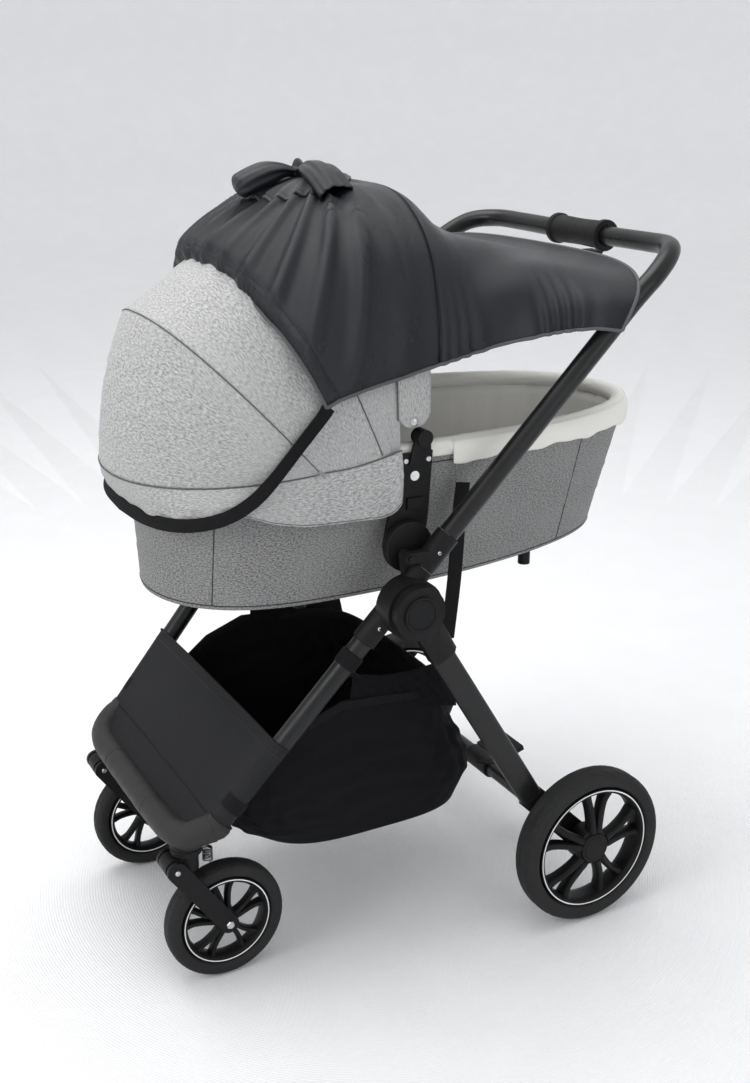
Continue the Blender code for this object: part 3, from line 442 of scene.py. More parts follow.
def spokePatches(w, side):
    # ten tapered blades in five pairs, dished outwards at the hub
    made = []
    run = np.linspace(w["hub"] * 0.86, w["rim"] - 0.0050, 14)
    for pair in range(5):
        for lean in (-1, 1):
            angle = 2 * np.pi * pair / 5 + w["turn"] + lean * (0.20 + 0.04 * step(run, run[0], run[-1]))
            angle = angle - lean * 0.05 * np.sin(np.pi * (run - run[0]) / (run[-1] - run[0]))
            dish = 0.22 * w["width"] * (1 - step(run, run[0], run[-1]))
            path = np.stack([side * (w["x"] + dish), w["y"] + run * np.cos(angle),
                             w["radius"] + run * np.sin(angle)], -1)
            blade = pillow(w["width"] * 0.46, w["rim"] * 0.115, 3.0, 16)
            flare = 1.0 + 0.28 * step(run, run[-5], run[-1]) + 0.12 * (1 - step(run, run[0], run[3]))
            made.append(swept(path, blade, np.cross(unit(np.gradient(path, axis=0)), (1.0, 0, 0)), flare))
    return made


for kind, w in wheels.items():
    for side, word in sides:
        centre = (side * w["x"], w["y"], w["radius"])
        tyre = make(f"{kind}Tyre{word.title()}", [patch(tyreGrid(w, side), wrapRows=True, wrapCols=True)],
                    [tyreRubber], sharp=60)
        settle(tyre, f"{kind}_wheel_{word}", "tyre", f"{kind}_wheel_tyre_{word}")
        h, r = w["width"] * 0.43, w["rim"]
        hoop = [(r, h - 0.001), (r - 0.001, h), (r - 0.0045, h), (r - 0.0065, h - 0.002),
                (r - 0.0085, h * 0.4), (r - 0.0085, -h * 0.4),
                (r - 0.0065, -h + 0.002), (r - 0.0045, -h), (r - 0.001, -h), (r, -h + 0.001)]
        k, bore = w["hub"], w["bore"]
        barrel = [(bore, h * 0.92), (k * 0.80, h * 0.92), (k * 0.93, h * 0.88), (k, h * 0.74),
                  (k * 0.97, 0.0), (k, -h * 0.74), (k * 0.9, -h * 0.9), (bore, -h * 0.9)]
        axis = (side, 0, 0)
        patches = [turned(hoop, centre, 112, axis), turned(barrel, centre, 56, axis), *spokePatches(w, side)]
        for face in (1, -1):
            stripe = pillow(0.0019 if kind == "rear" else 0.0017, 0.0012, 2.0, 10)
            stripe = np.stack([r - 0.0022 + stripe[:, 0], face * (h - 0.0002) + stripe[:, 1]], -1)
            patches.append(turned(stripe, centre, 112, axis, finish=1))
        rim = make(f"{kind}Rim{word.title()}", patches, [blackPlastic, whiteTrim])
        settle(rim, f"{kind}_wheel_{word}", "plastic", f"{kind}_wheel_rim_{word}")
    print(kind, "wheels built")

capAt = (0.2943, wheels["rear"]["y"], wheels["rear"]["radius"])
capShape = [(0.0001, 0.0042), (0.010, 0.0041), (0.0165, 0.0036), (0.0172, 0.0029), (0.0180, 0.0029),
            (0.0188, 0.0035), (0.0215, 0.0028), (0.0225, 0.0012), (0.0225, 0.0), (0.0001, 0.0)]
for side, word in sides:
    cap = make(f"hubCap{word.title()}", [turned(capShape, np.multiply(capAt, (side, 1, 1)), 56,
                                                (side, 0, 0))], [blackPlastic])
    settle(cap, f"rear_wheel_{word}", "plastic", f"rear_wheel_cap_{word}")


# tubes

mainTube = {"at": (0.219, -0.138, 0.471), "slope": (0.130, 1.0, 1.134), "radius": 0.0135, "collarTop": -0.022}


def onTube(y, side=1):
    place = np.array(mainTube["at"]) + np.array(mainTube["slope"]) * (y - mainTube["at"][1])
    return place * [side, 1, 1]


roundTube = pillow(2 * mainTube["radius"], 2 * mainTube["radius"], 2.0, 32)
tubeUp = (0, -0.75, 0.66)
for side, word in sides:
    run = np.linspace(onTube(-0.330, side), onTube(-0.138, side), 12)
    tube = make(f"lowerTube{word.title()}", [swept(run, roundTube, (1, 0, 0))], [tubePaint])
    settle(tube, "chassis", "tube", f"lower_tube_{word}")

handle = {
    "bend": [onTube(0.10), onTube(0.20), onTube(0.232), (0.2630, 0.2680, 0.9190), (0.2450, 0.3020, 0.9400),
             (0.2080, 0.3300, 0.9460),
             (0.1500, 0.340, 0.9450), (0.060, 0.341, 0.944), (0.0, 0.341, 0.944)],
    "grip": 0.060, "gripRadius": 0.0202, "ring": 0.0225, "gripAt": (0, 0.341, 0.944),
}
bentPart = smoothLine(handle["bend"], 60)
handlePath = np.vstack([np.linspace(onTube(mainTube["collarTop"] + 0.0006), onTube(0.10), 14)[:-1], bentPart])
tube = make("handleTube", [swept(bothSides(handlePath), roundTube, tubeUp)], [tubePaint])
settle(tube, "handle", "tube", "handle_tube")

g, gr, ringR, bore = handle["grip"], handle["gripRadius"], handle["ring"], mainTube["radius"] + 0.0008
x = np.linspace(-g + 0.011, g - 0.011, 44)
waist = gr - 0.0012 * np.cos(np.pi * x / (2 * g)) ** 2 - 0.0004 * (np.cos(2 * np.pi * x / 0.0075) > 0.86)
sleeve = [(bore, -g), (ringR - 0.001, -g), (ringR, -g + 0.001), (ringR, -g + 0.0075),
          (ringR - 0.0012, -g + 0.0088), (gr - 0.0006, -g + 0.0098)]
sleeve += list(zip(waist, x))
sleeve += [(r, -a) for r, a in sleeve[5::-1]]
grip = make("handleGrip", [turned(sleeve, handle["gripAt"], 48)], [gripFoam])
settle(grip, "handle", "grip", "handle_grip")

leg = {"hub": (-0.082, 0.516), "foot": (0.1115, 0.1975), "x": 0.248, "width": 0.034, "depth": 0.0170,
       "from": 0.080, "peg": 0.318}
hub, foot = np.array(leg["hub"]), np.array(leg["foot"])
legLength = np.linalg.norm(foot - hub)
for side, word in sides:
    run = np.linspace(leg["from"], legLength, 12)[:, None]
    path = np.hstack([np.full((12, 1), side * leg["x"]), hub + (foot - hub) / legLength * run])
    section = pillow(leg["width"], leg["depth"], 3.4, 36)
    y, z = hub + (foot - hub) / legLength * leg["peg"]
    peg = [(0.0001, 0.2190), (0.0085, 0.2190), (0.0100, 0.2205), (0.0100, 0.2250), (0.0070, 0.2258),
           (0.0070, 0.2420), (0.0001, 0.2420)]
    patches = [swept(path, section, (1, 0, 0)), turned(peg, (0, y, z), 28, (side, 0, 0), finish=1)]
    settle(make(f"rearLeg{word.title()}", patches, [tubePaint, blackPlastic]), "rear_frame", "tube",
           f"rear_leg_{word}")
axle = [(0.0066, -0.2366), (0.0125, -0.2366), (0.0125, 0.2366), (0.0066, 0.2366)]
settle(make("axleTube", [turned(axle, (0, 0.193, 0.115), 40)], [tubePaint]), "rear_frame", "tube",
       "axle_tube")
print("tubes built")


# castings: smoothed copies of the CAD pieces, their corners rounded

def rounded(node, name, finish, edge, sharp=24):
    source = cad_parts[node]
    shape = bmesh.new()
    shape.from_mesh(source.data)
    bmesh.ops.remove_doubles(shape, verts=shape.verts, dist=1e-5)
    bmesh.ops.dissolve_limit(shape, angle_limit=math.radians(2), verts=shape.verts, edges=shape.edges)
    mesh = bpy.data.meshes.new(name)
    shape.to_mesh(mesh)
    shape.free()
    mesh.materials.append(finish.material)
    mesh.shade_smooth()
    mesh.set_sharp_from_angle(angle=math.radians(sharp))
    made = bpy.data.objects.new(name, mesh)
    bpy.context.scene.collection.objects.link(made)
    bevel = made.modifiers.new("roundedEdges", "BEVEL")
    bevel.width, bevel.segments, bevel.limit_method, bevel.angle_limit = edge, 2, "ANGLE", math.radians(sharp)
    bevel.harden_normals = True
    return made


castings = {
    "hub_housing": ("chassis", "hubHousing", blackPlastic, "plastic", 0.0016),
    "adapter": ("chassis", "adapterDisc", blackPlastic, "plastic", 0.0022),
    "bassinet_bracket": ("chassis", "cotBracket", blackPlastic, "plastic", 0.0009),
    "leg_head": ("rear_frame", "legHead", blackPlastic, "plastic", 0.0018),
    "leg_foot": ("rear_frame", "legFoot", blackPlastic, "plastic", 0.0016),
    "handle_collar": ("handle", "handleCollar", blackPlastic, "plastic", 0.0009),
    "caster_yoke": ("caster_{}", "casterYoke", blackPlastic, "plastic", 0.0014),
    "caster_link": ("link_{}", "casterLink", blackPlastic, "plastic", 0.0013),
    "front_axle_bolt": ("link_{}", "frontAxleBolt", zincSteel, "steel", 0.0006),
    "swivel_lock": ("swivel_lock_{}", "swivelLock", blackPlastic, "plastic", 0.0007),
    "release_button": ("release_button_{}", "releaseButton", blackPlastic, "plastic", 0.0007),
}
for node, (body, stem, finish, slot, edge) in castings.items():
    for side, word in sides:
        settle(rounded(f"{node}_{word}", f"{stem}{word.title()}", finish, edge), body.format(word), slot,
               f"{node}_{word}")
for node, body, name, finish, slot, edge in (
    ("tub_feet_front", "chassis", "tubFeetFront", blackPlastic, "plastic", 0.0010),
    ("tub_feet_rear", "chassis", "tubFeetRear", blackPlastic, "plastic", 0.0010),
    ("rear_axle", "rear_frame", "rearAxle", zincSteel, "steel", 0.0006),
    ("brake_pedal", "brake", "brakePedal", blackPlastic, "plastic", 0.0012),
    ("fold_slider", "fold_slider", "foldSlider", blackPlastic, "plastic", 0.0010),
):
    settle(rounded(node, name, finish, edge), body, slot, node)

# screws, rivets, the cover rings and the plain white dots
caster = {"x": 0.155, "axle": (-0.317, 0.083), "linkPin": (-0.3865, 0.182), "face": 0.0228,
          "springY": -0.3370, "coil": 0.0062, "turns": 5.5, "swivelY": -0.366}
socketHead = [(0.0001, 0.0004), (0.0016, 0.0004), (0.0017, 0.0018), (0.0030, 0.0018), (0.0036, 0.0010),
              (0.0036, -0.001), (0.0001, -0.001)]
dot = [(0.0001, 0.0010), (0.0060, 0.0010), (0.0065, 0.0006), (0.0065, -0.0002), (0.0001, -0.0002)]
hexagon = [(0.0001, 0.0028), (0.0050, 0.0028), (0.0058, 0.0018), (0.0058, 0.0), (0.0001, 0.0)]
coverRing = [(0.0185, 0.0004), (0.0190, 0.0012), (0.0200, 0.0012), (0.0205, 0.0004), (0.0205, -0.0006),
             (0.0185, -0.0006)]
for side, word in sides:
    out = (side, 0, 0)
    settle(make(f"whiteDot{word.title()}", [turned(dot, (side * 0.1965, -0.0505, 0.6750), 32, out)],
                [whiteTrim]), "chassis", "plastic")
    screws = [turned(socketHead, (side * 0.1990, -0.0320, 0.6960), 20, out),
              turned(socketHead, (side * 0.1965, -0.0640, 0.6960), 20, out)]
    settle(make(f"bracketScrews{word.title()}", screws, [zincSteel]), "chassis", "steel")
    rings = [turned(coverRing, (side * 0.2745, *leg["hub"]), 48, out)]
    settle(make(f"hubCoverRing{word.title()}", rings, [blackPlastic]), "rear_frame", "plastic")
    for name, body, y in (("hubRivet", "chassis", -0.121), ("collarRivet", "handle", -0.040)):
        spot = onTube(y, side) + np.array([side * 0.0150, -0.0020, 0.0018])
        settle(make(f"{name}{word.title()}", [turned(0.75 * np.array(socketHead), spot, 18, out)],
                    [zincSteel]), body, "steel")
    nuts = []
    for face in (1, -1):
        nuts.append(turned(hexagon, (side * caster["x"] + face * caster["face"], *caster["axle"]), 6,
                           (face, 0, 0)))
        nuts.append(turned(socketHead, (side * caster["x"] + face * caster["face"], *caster["linkPin"]), 20,
                           (face, 0, 0)))
    settle(make(f"casterNuts{word.title()}", nuts, [zincSteel], sharp=20), f"link_{word}", "steel")

    # the coil spring: a wire circling the post, climbing evenly between two flat end turns
    t = np.linspace(0, 1, 150)
    climb = 0.1752 + 0.0190 * step(t, -0.15, 1.15)
    turn = 2 * np.pi * caster["turns"] * t
    coil = np.stack([side * caster["x"] + caster["coil"] * np.cos(turn),
                     caster["springY"] + caster["coil"] * np.sin(turn), climb], -1)
    spring = make(f"casterSpring{word.title()}", [swept(coil, pillow(0.0022, 0.0022, 2.0, 10))],
                  [springSteel])
    settle(spring, f"caster_{word}", "spring", f"caster_spring_{word}")
print("castings built")


# the wrapped bar at the front, with sewn joins, and the swivel housings under it

loopBar = {
    "half": [(0.1870, -0.3520, 0.2400), (0.1720, -0.3700, 0.2290), (0.1380, -0.3800, 0.2250),
             (0.070, -0.382, 0.224), (0.0, -0.382, 0.224)],
    "radius": 0.0178, "joins": (0.075, 0.225),
}
path = bothSides(np.vstack([np.linspace(onTube(-0.3306), onTube(-0.3370), 6)[:-1],
                            smoothLine([onTube(-0.3376), *loopBar["half"]], 110)]))
run = np.concatenate([[0], np.cumsum(np.linalg.norm(np.diff(path, axis=0), axis=1))])
fromMiddle = np.abs(run - run[-1] / 2)
dent = sum(np.exp(-(((fromMiddle - j) / 0.0016) ** 2)) for j in (*loopBar["joins"], run[-1] / 2 - 0.012))
puff = 1.0 - 0.075 * dent + 0.012 * np.sin(run * 170) * np.sin(run * 61)
barUp = np.array([0.0, -0.72, 0.69])
wrap = make("loopWrap", [swept(path, pillow(2 * loopBar["radius"], 2 * loopBar["radius"], 2.15, 40), barUp,
                               puff)], [wrapLeather], sharp=70)
settle(wrap, "chassis", "wrap", "front_loop")
inner = path[14:-14] + (0.0, 0.0120, -0.0128)
stitch = make("loopWrapSeam", [swept(spread(inner, 150), pillow(0.0016, 0.0016, 2.0, 8))], [threadDark])
settle(stitch, "chassis", "wrap")
housing = [(0.0001, 0.1964), (0.0190, 0.1964), (0.0208, 0.1978), (0.0208, 0.2120), (0.0215, 0.2130),
           (0.0215, 0.2290), (0.0190, 0.2370), (0.0001, 0.2370)]
ribs = [(0.0212, 0.2030), (0.0217, 0.2036), (0.0217, 0.2050), (0.0212, 0.2056), (0.0200, 0.2056),
        (0.0200, 0.2030)]
for side, word in sides:
    centre = (side * caster["x"], caster["swivelY"], 0.0)
    patches = [turned(housing, centre, 44, (0, 0, 1)), turned(ribs, centre, 44, (0, 0, 1))]
    settle(make(f"swivelHousing{word.title()}", patches, [blackPlastic]), "chassis", "plastic")
print("front bar built")


# soft pieces: helpers

hoodLining = wovenCloth("hoodLining", (0.30, 0.30, 0.31), 0.85, 0.0012, {"Sheen Weight": 0.2}, 1.15, 0.1)


def ripple(u, v, seed=0.0):
    # slow uneven waves, about -1 to 1: four sines at unlike angles multiplied and added
    return 0.5 * np.sin(5.1 * u + 3.3 * v + seed) * np.sin(2.3 * u - 4.7 * v + 1.7
        * seed) + 0.5 * np.sin(9.7 * u + 1.9 * v + 2.1 * seed) * np.sin(1.3 * u + 7.1 * v - seed)


def lifted(places, height):
    # the grid moved along its own normal by height, in metres, away from the middle of the grid
    normal = unit(np.cross(np.gradient(places, axis=0), np.gradient(places, axis=1)))
    away = places - places.reshape(-1, 3).mean(0) + (0, 0, 0.05)
    normal = normal * np.sign((normal * away).sum(-1).mean())
    return places + np.asarray(height)[..., None] * normal


def baked(made):
    # the modifiers worked into the mesh
    done = bpy.data.meshes.new_from_object(made.evaluated_get(bpy.context.evaluated_depsgraph_get()))
    made.modifiers.clear()
    made.data = done
    return made


def clothOf(name, patches, finishes, thick=0.0016, offset=-1.0, lining=0, sharp=75, outFrom=(0, -0.12, 0.70)):
    made = make(name, patches, finishes, closed=False, sharp=sharp, outFrom=outFrom)
    thicken(made, thick, offset)
    made.modifiers["clothWall"].material_offset = lining
    made.modifiers["clothWall"].material_offset_rim = lining
    return baked(made)


def areaOf(places):
    # half the length of each quad's crossed diagonals
    return float(np.linalg.norm(np.cross(places[1:, 1:] - places[:-1, :-1],
                                         places[1:, :-1] - places[:-1, 1:]), axis=2).sum() / 2)


def declare(made, places, width, held, *restsOn):
    # the width is chosen, and the length is the finished surface's own area over it, not a cutting pattern
    areaOf(places) / width
    print(made.name, "cut", round(width, 3), "by", round(areaOf(places) / width, 3))


def cord(name, path, finish, thickness=0.0020, up=(0, 0, 1), count=8):
    return make(name, [swept(path, pillow(thickness, thickness, 2.0, count), up)], [finish])


# the carrycot: outline by height, wall, floor, lining and rim

cot = {"floor": 0.505, "top": 0.6935, "inFloor": 0.5142, "points": 220, "liningHeight": 0.19,
       "gapAt": -0.042, "gapHalf": 0.048, "flapEnd": 0.010}


def outline(level, outset=0.0, count=cot["points"]):
    # a stretched oval, level 0 at the floor and 1 at the top; the foot end (+Y) is the longer one
    half, middle = 0.152 + 0.036 * level, -0.10 + 0.02 * level
    toFoot, toHead = 0.362 + 0.034 * level - middle, middle + 0.350 + 0.005 * level
    t = np.linspace(0, 2 * np.pi, count, endpoint=False)
    side = 2.0 + 0.3 * level
    c, s = np.cos(t), np.sin(t)
    x = half * swell(s, side)
    y = middle + np.where(c > 0, toFoot * np.abs(c) ** (2 / (1.8 + 1.0 * level)),
                          -toHead * np.abs(c) ** (2 / 3.2))
    line = np.stack([x, y], -1)
    line = spread(np.vstack([line, line[:1]]), count + 1)[:-1]
    along = np.roll(line, -1, 0) - np.roll(line, 1, 0)
    return line + outset * unit(np.stack([-along[:, 1], along[:, 0]], -1))


def raised(flat, z):
    # a plan outline given its height, one number or one per point
    return np.column_stack([flat, np.broadcast_to(z, len(flat))])


def ring(z, outset=0.0):
    level = (z - cot["floor"]) / (cot["top"] - cot["floor"])
    return raised(outline(np.clip(level, 0, 1), outset), z)


def outwards(z):
    # the unit direction square to the outline at that height, away from the middle
    return (ring(z, 0.01) - ring(z))[:, :2] * 100


around = np.linspace(0, 2 * np.pi, cot["points"], endpoint=False)
heights = np.linspace(cot["floor"] + 0.004, cot["top"], 26)
shell = [ring(cot["floor"], -0.010), ring(cot["floor"] + 0.0004, -0.004),
         ring(cot["floor"] + 0.0018, -0.0008)]
for h in heights:
    waves = 0.0010 * ripple(around * 2.0, h * 40, 0.7) * np.sin(np.pi * (h - cot["floor"]) / 0.19)
    shell.append(raised(ring(h)[:, :2] + waves[:, None] * outwards(h), h))
shell += [ring(cot["top"], -0.0040), ring(cot["top"] - 0.002, -0.0076), ring(0.62, -0.0076),
          ring(0.53, -0.0076), ring(cot["inFloor"], -0.0080)]
shell = np.stack(shell)
floorMid = shell[-1].mean(0) * [0, 1, 0] + [0, 0, cot["inFloor"]]
underMid = floorMid * [1, 1, 0] + [0, 0, cot["floor"]]
inner = np.stack([shell[-1] + (floorMid - shell[-1]) * f for f in (0.0, 0.3, 0.7, 0.995)])
under = np.stack([underMid + (shell[0] - underMid) * f for f in (0.005, 0.4, 0.75, 1.0)])
tub = make("tubShell", [patch(np.vstack([under, shell[1:], inner[1:]]), wrapCols=True, caps=True)],
           [tubMelange], sharp=50)
settle(tub, "chassis", "tub_fabric", "bassinet_tub")

# the cotton lining down the inside of the wall, darted, and the flap folded over the edge
darts = 0.0016 * np.exp(-((np.sin(around * 15) / 0.22) ** 2))
lining = []
for h, inset in ((0.5200, 0.0160), (0.5600, 0.0135), (0.60, 0.0125), (0.64, 0.0125), (0.68, 0.0130),
                 (0.695, 0.0135)):
    inwards = 0.0014 * ripple(around * 3, h * 30, 2.0) - darts
    lining.append(raised(ring(h, -inset)[:, :2] - inwards[:, None] * outwards(h), h))
lining = np.stack(lining)
liner = make("cotLining", [patch(lining, wrapCols=True)], [linerCotton], closed=False, sharp=80,
             outFrom=(0, 0, 0.6))
thicken(liner, 0.0024, -1.0)
baked(liner)
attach(liner, "chassis")
wide = areaOf(np.concatenate([lining, lining[:, :1]], 1)) / cot["liningHeight"]
print("cotLining cut 0.19 by", round(wide, 3))

# the padded roll round the edge, a plump uneven section, and its outer flap hanging lower
mouthLine = ring(0.69)
bracketGap = np.abs(mouthLine[:, 1] - cot["gapAt"]) < cot["gapHalf"]
sectionTurn = np.linspace(0, 2 * np.pi, 28, endpoint=False)
roll = []
for a in sectionTurn:
    c, s = math.cos(a), math.sin(a)
    puff = 1.0 + 0.05 * ripple(around * 6, a, 1.1)
    out = -0.0065 + 0.0118 * c * puff
    z = 0.7040 + 0.0122 * s * puff
    out = np.where(bracketGap, np.minimum(out, 0.0022), out)
    roll.append(raised(ring(cot["top"])[:, :2] + out[:, None] * outwards(cot["top"]), z))
rim = make("cotRimRoll", [patch(np.stack(roll), wrapRows=True, wrapCols=True)], [linerCotton], sharp=80)
settle(rim, "chassis", "liner", "liner_rim")
start = int(np.argmin(np.abs(mouthLine[:, 1] - cot["flapEnd"]) + 10 * (mouthLine[:, 0] < 0)))
order = np.roll(np.arange(cot["points"]), -start)
if mouthLine[order[3], 1] < mouthLine[order[0], 1]:
    order = np.roll(order[::-1], 1)
order = order[: int(np.argmax(mouthLine[order, 1][40:] < cot["flapEnd"])) + 41]
t = np.linspace(0, 1, len(order))
flapRows = []
for f in np.linspace(0, 1, 9):
    z = 0.7135 - f * (0.0300 + 0.0016 * np.sin(t * 57) + 0.0010 * np.sin(t * 131))
    out = 0.0030 + 0.0052 * math.sin(min(1.0, f * 2.2) * math.pi / 2) + 0.0009 * f * np.sin(t * 57 + 1.0)
    flapRows.append(raised(ring(cot["top"])[order, :2] + out[:, None] * outwards(cot["top"])[order], z))
flapRows = np.stack(flapRows)
flap = clothOf("cotRimFlap", [patch(flapRows)], [linerCotton], 0.0018, -1.0, outFrom=(0, 0.1, 0.70))
settle(flap, "chassis", "liner")
declare(flap, flapRows, 0.031, "folded", "cotRimRoll")
for name, z, outset in (("tubLowerPiping", 0.5125, 0.0), ("tubUpperSeam", 0.6860, 0.0002)):
    line = ring(z, outset)
    settle(cord(name, np.vstack([line, line[:3]]), threadDark, 0.0016), "chassis", "tub_fabric")
for side, word in sides:
    for y in (-0.300, 0.245):
        rows = np.stack([ring(h) for h in np.linspace(0.512, 0.689, 20)])
        ready = [row[row[:, 0] * side > 0.02] for row in rows]
        x = [np.interp(y, *(row[np.argsort(row[:, 1])][:, k] for k in (1, 0))) for row in ready]
        seam = spread(np.stack([x, np.full(20, y), rows[:, 0, 2]], -1), 40)
        settle(cord(f"tubSeam{word.title()}{'Head' if y < 0 else 'Foot'}", seam, threadDark, 0.0015,
                    (1, 0, 0)), "chassis", "tub_fabric")

# the mattress: a thin pad with a rounded crown, quilted by soft grooves across
rows = []
for f in (0.02, 0.25, 0.5, 0.75, 0.93, 1.0, 1.0, 0.93, 0.75, 0.5, 0.25, 0.02):
    flat = ring(0.530, -0.026)
    rows.append(flat * [1, 1, 0] * f + (1 - f) * np.array([0, flat[:, 1].mean(), 0]))
rows = np.stack(rows)
crown = np.array([1.0, 0.98, 0.92, 0.8, 0.55, 0.18, -0.18, -0.55, -0.8, -0.92, -0.98, -1.0])
quilt = 1 - 0.16 * np.exp(-((np.sin(rows[..., 1] * np.pi / 0.15) / 0.14) ** 2)) - 0.03 * ripple(rows[...,
    0] * 40, rows[..., 1] * 40)
rows[..., 2] = 0.5322 + 0.0148 * crown[:, None] * np.where(crown[:, None] > 0, quilt, 1)
pad = make("cotMattress", [patch(rows, wrapCols=True, caps=True)], [linerCotton], sharp=80)
settle(pad, "chassis", "liner", "mattress")
print("carrycot built")


# the hood: fabric over bows, each bow an arch through both hinges

hood = {
    "low": ((-0.18, 0.697), 185.0, 0.215, 0.2000, 2.1, 2.1), "rear": ((-0.18, 0.690), 131.0, 0.250, 0.2000,
        2.4, 2.3),
    "middle": ((-0.095, 0.700), 113.0, 0.292, 0.2000, 2.8, 2.7), "front": ((-0.072, 0.700), 91.0, 0.320,
        0.1975, 3.4, 3.4),
    "rearBulge": 0.010, "band": (-0.0750, -0.0300), "wall": 0.0020,
}


def bow(name, count=161, grow=0.0):
    # half-width times cosine squared off, radius times sine squared off, leant back by the angle
    (y, z), lean, radius, half, p, q = hood[name]
    t = np.linspace(0, np.pi, 721)
    r = (radius + grow) * swell(np.sin(t), q)
    a = math.radians(lean)
    line = np.stack([(half + grow) * swell(np.cos(t), p), y + r * math.cos(a), z + r * math.sin(a)], -1)
    return spread(line, count)


low, rear, mid, front = (bow(n) for n in ("low", "rear", "middle", "front"))
u = np.linspace(0, 1, 161)
f = np.linspace(0, 1, 44)[:, None]
rearSkin = low[None] * (1 - f[..., None]) + rear[None] * f[..., None]
rearSkin = lifted(rearSkin,
                  np.sin(np.pi * f) ** 0.8 * np.sin(np.pi * u) ** 0.5 * hood["rearBulge"]
                  + np.sin(np.pi * f) * 0.0016 * ripple(u * 7, f * 5 + 0 * u, 0.4))
rearPiece = clothOf("hoodRearPanel", [patch(rearSkin)], [hoodMelange, hoodLining], hood["wall"], lining=1)
settle(rearPiece, "chassis", "hood_fabric", "hood_rear")
declare(rearPiece, rearSkin, 0.52, "stretched", "tubShell")


def between(a, b, c, d, rows):
    # from b to c, row by row: mostly straight, partly a Catmull-Rom cubic
    f = np.linspace(0, 1, rows)[:, None, None]
    return 0.55 * (b + (c - b) * f) + 0.225 * (2 * b + (c - a) * f + (2 * a - 5 * b + 4 * c - d) * f**2
                                               + (3 * b - a - 3 * c + d) * f**3)


before = rear - 0.5 * (mid - rear)
after = front + 0.6 * (front - mid)
for name, rows, bodies, span, node, seed, width in (
    ("hoodMiddlePanel", between(before, rear, mid, front, 34), ("chassis", "hood_middle"),
     ((0, 0.1615, 0.1007), (0, 0.2678, 0.1670)), "hood_middle", 1.9, 0.30),
    ("hoodFrontPanel", between(rear, mid, front, after, 30), ("hood_middle", "hood_front"),
     ((0, 0.0293, 0.0063), (0, 0.0975, 0.0210)), "hood_front", 3.1, 0.25),
):
    g = np.linspace(0, 1, len(rows))[:, None]
    rows = lifted(rows, np.sin(np.pi * g) * (0.0015 * ripple(u * 8, g * 3 + 0 * u, seed) - 0.0022
                                             * np.sin(np.pi * u) ** 0.6))
    piece = clothOf(name, [patch(rows)], [hoodMelange, hoodLining], hood["wall"], lining=1)
    settle(piece, None, "hood_fabric", node)
    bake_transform(piece)
    declare(piece, rows, width, "stretched", "hoodRearPanel")

# the stiff band along the front edge, its lower ends rounded off
first = bow("front", 161, 0.0022) + (0, -0.0040, 0)
last = bow("front", 161, 0.0026)
last[:, 1] = hood["band"][1]
keep = slice(7, 154)
bandRows = np.stack([first[keep] * (1 - k) + last[keep] * k for k in np.linspace(0, 1, 12)])
endness = np.clip(1 - np.minimum(np.arange(147), 146 - np.arange(147)) / 9.0, 0, 1)
k = np.linspace(-1, 1, 12)[:, None]
bandRows[..., 2] += 0.016 * endness**2 * np.abs(k) ** 3
band = clothOf("hoodFrontBand", [patch(bandRows)], [hoodMelange, hoodLining], 0.0022, lining=1)
settle(band, "hood_front", "hood_fabric")
declare(band, bandRows, 0.045, "stretched", "hoodFrontPanel")
snapShape = [(0.0001, 0.0026), (0.0030, 0.0025), (0.0040, 0.0018), (0.0052, 0.0014), (0.0060, 0.0004),
             (0.0060, -0.0014), (0.0001, -0.0014)]
for side, word in sides:
    settle(make(f"hoodSnap{word.title()}", [turned(snapShape, (side * 0.2006, -0.0535, 0.7470), 28,
                                                   (side, 0, 0))], [zincSteel]), "hood_front", "steel")

# seams stand half out of the cloth
for name, line, body in (("hoodSeamRear", rear, "chassis"), ("hoodSeamMiddle", mid, "hood_middle"),
                         ("hoodSeamFront", first[keep], "hood_front")):
    settle(cord(name, line[2:-2], hoodThread, 0.0017, (1, 0.3, 0)), body, "hood_fabric")

# the skirt below the low seam: from the seam line to the hem, with shallow folds
topHalf = np.vstack([smoothLine([(0.2030, -0.0730, 0.7130), (0.2018, -0.1000, 0.7060),
    (0.2010, -0.1300, 0.7005), (0.2006, -0.1550, 0.6980), (0.2004, -0.1800, 0.6972)], 40)[:-1],
                     bow("low", 241, 0.0006)[:121]])
hemHalf = smoothLine([(0.2035, -0.0716, 0.6560), (0.2030, -0.0750, 0.6400), (0.2022, -0.0890, 0.6290),
                      (0.2012, -0.1270, 0.6280), (0.1992, -0.1920, 0.6295), (0.1950, -0.2440, 0.6390),
                      (0.1890, -0.2855, 0.6530), (0.1775, -0.3050, 0.6500), (0.1540, -0.3330,
                          0.6430), (0.1190, -0.3540, 0.6380), (0.0700, -0.3665, 0.6360),
                          (0.0, -0.3715, 0.6350)], 121)
top, hem = spread(bothSides(topHalf), 241), bothSides(hemHalf)
f, u2 = np.linspace(0, 1, 26)[:, None], np.linspace(0, 1, 241)
skirt = top[None] * (1 - f[..., None]) + hem[None] * f[..., None]
folds = 0.0042 * np.sin(np.pi * np.clip(f * 0.9, 0, 1)) + np.sin(np.pi * f / 2) * (0.0016
    * np.sin(u2 * 75 + 3 * np.sin(u2 * 19)) + 0.0014 * ripple(u2 * 14, f * 3 + 0 * u2, 0.9))
skirt = lifted(skirt, folds)
skirtPiece = clothOf("hoodSkirt", [patch(skirt)], [hoodMelange, hoodLining], 0.0018, lining=1)
settle(skirtPiece, "chassis", "hood_fabric")
declare(skirtPiece, skirt, 0.075, "hung", "hoodRearPanel")
settle(cord("hoodSkirtSeam", skirt[0], hoodThread, 0.0018, (0.2, 0.3, 1)), "chassis", "hood_fabric")
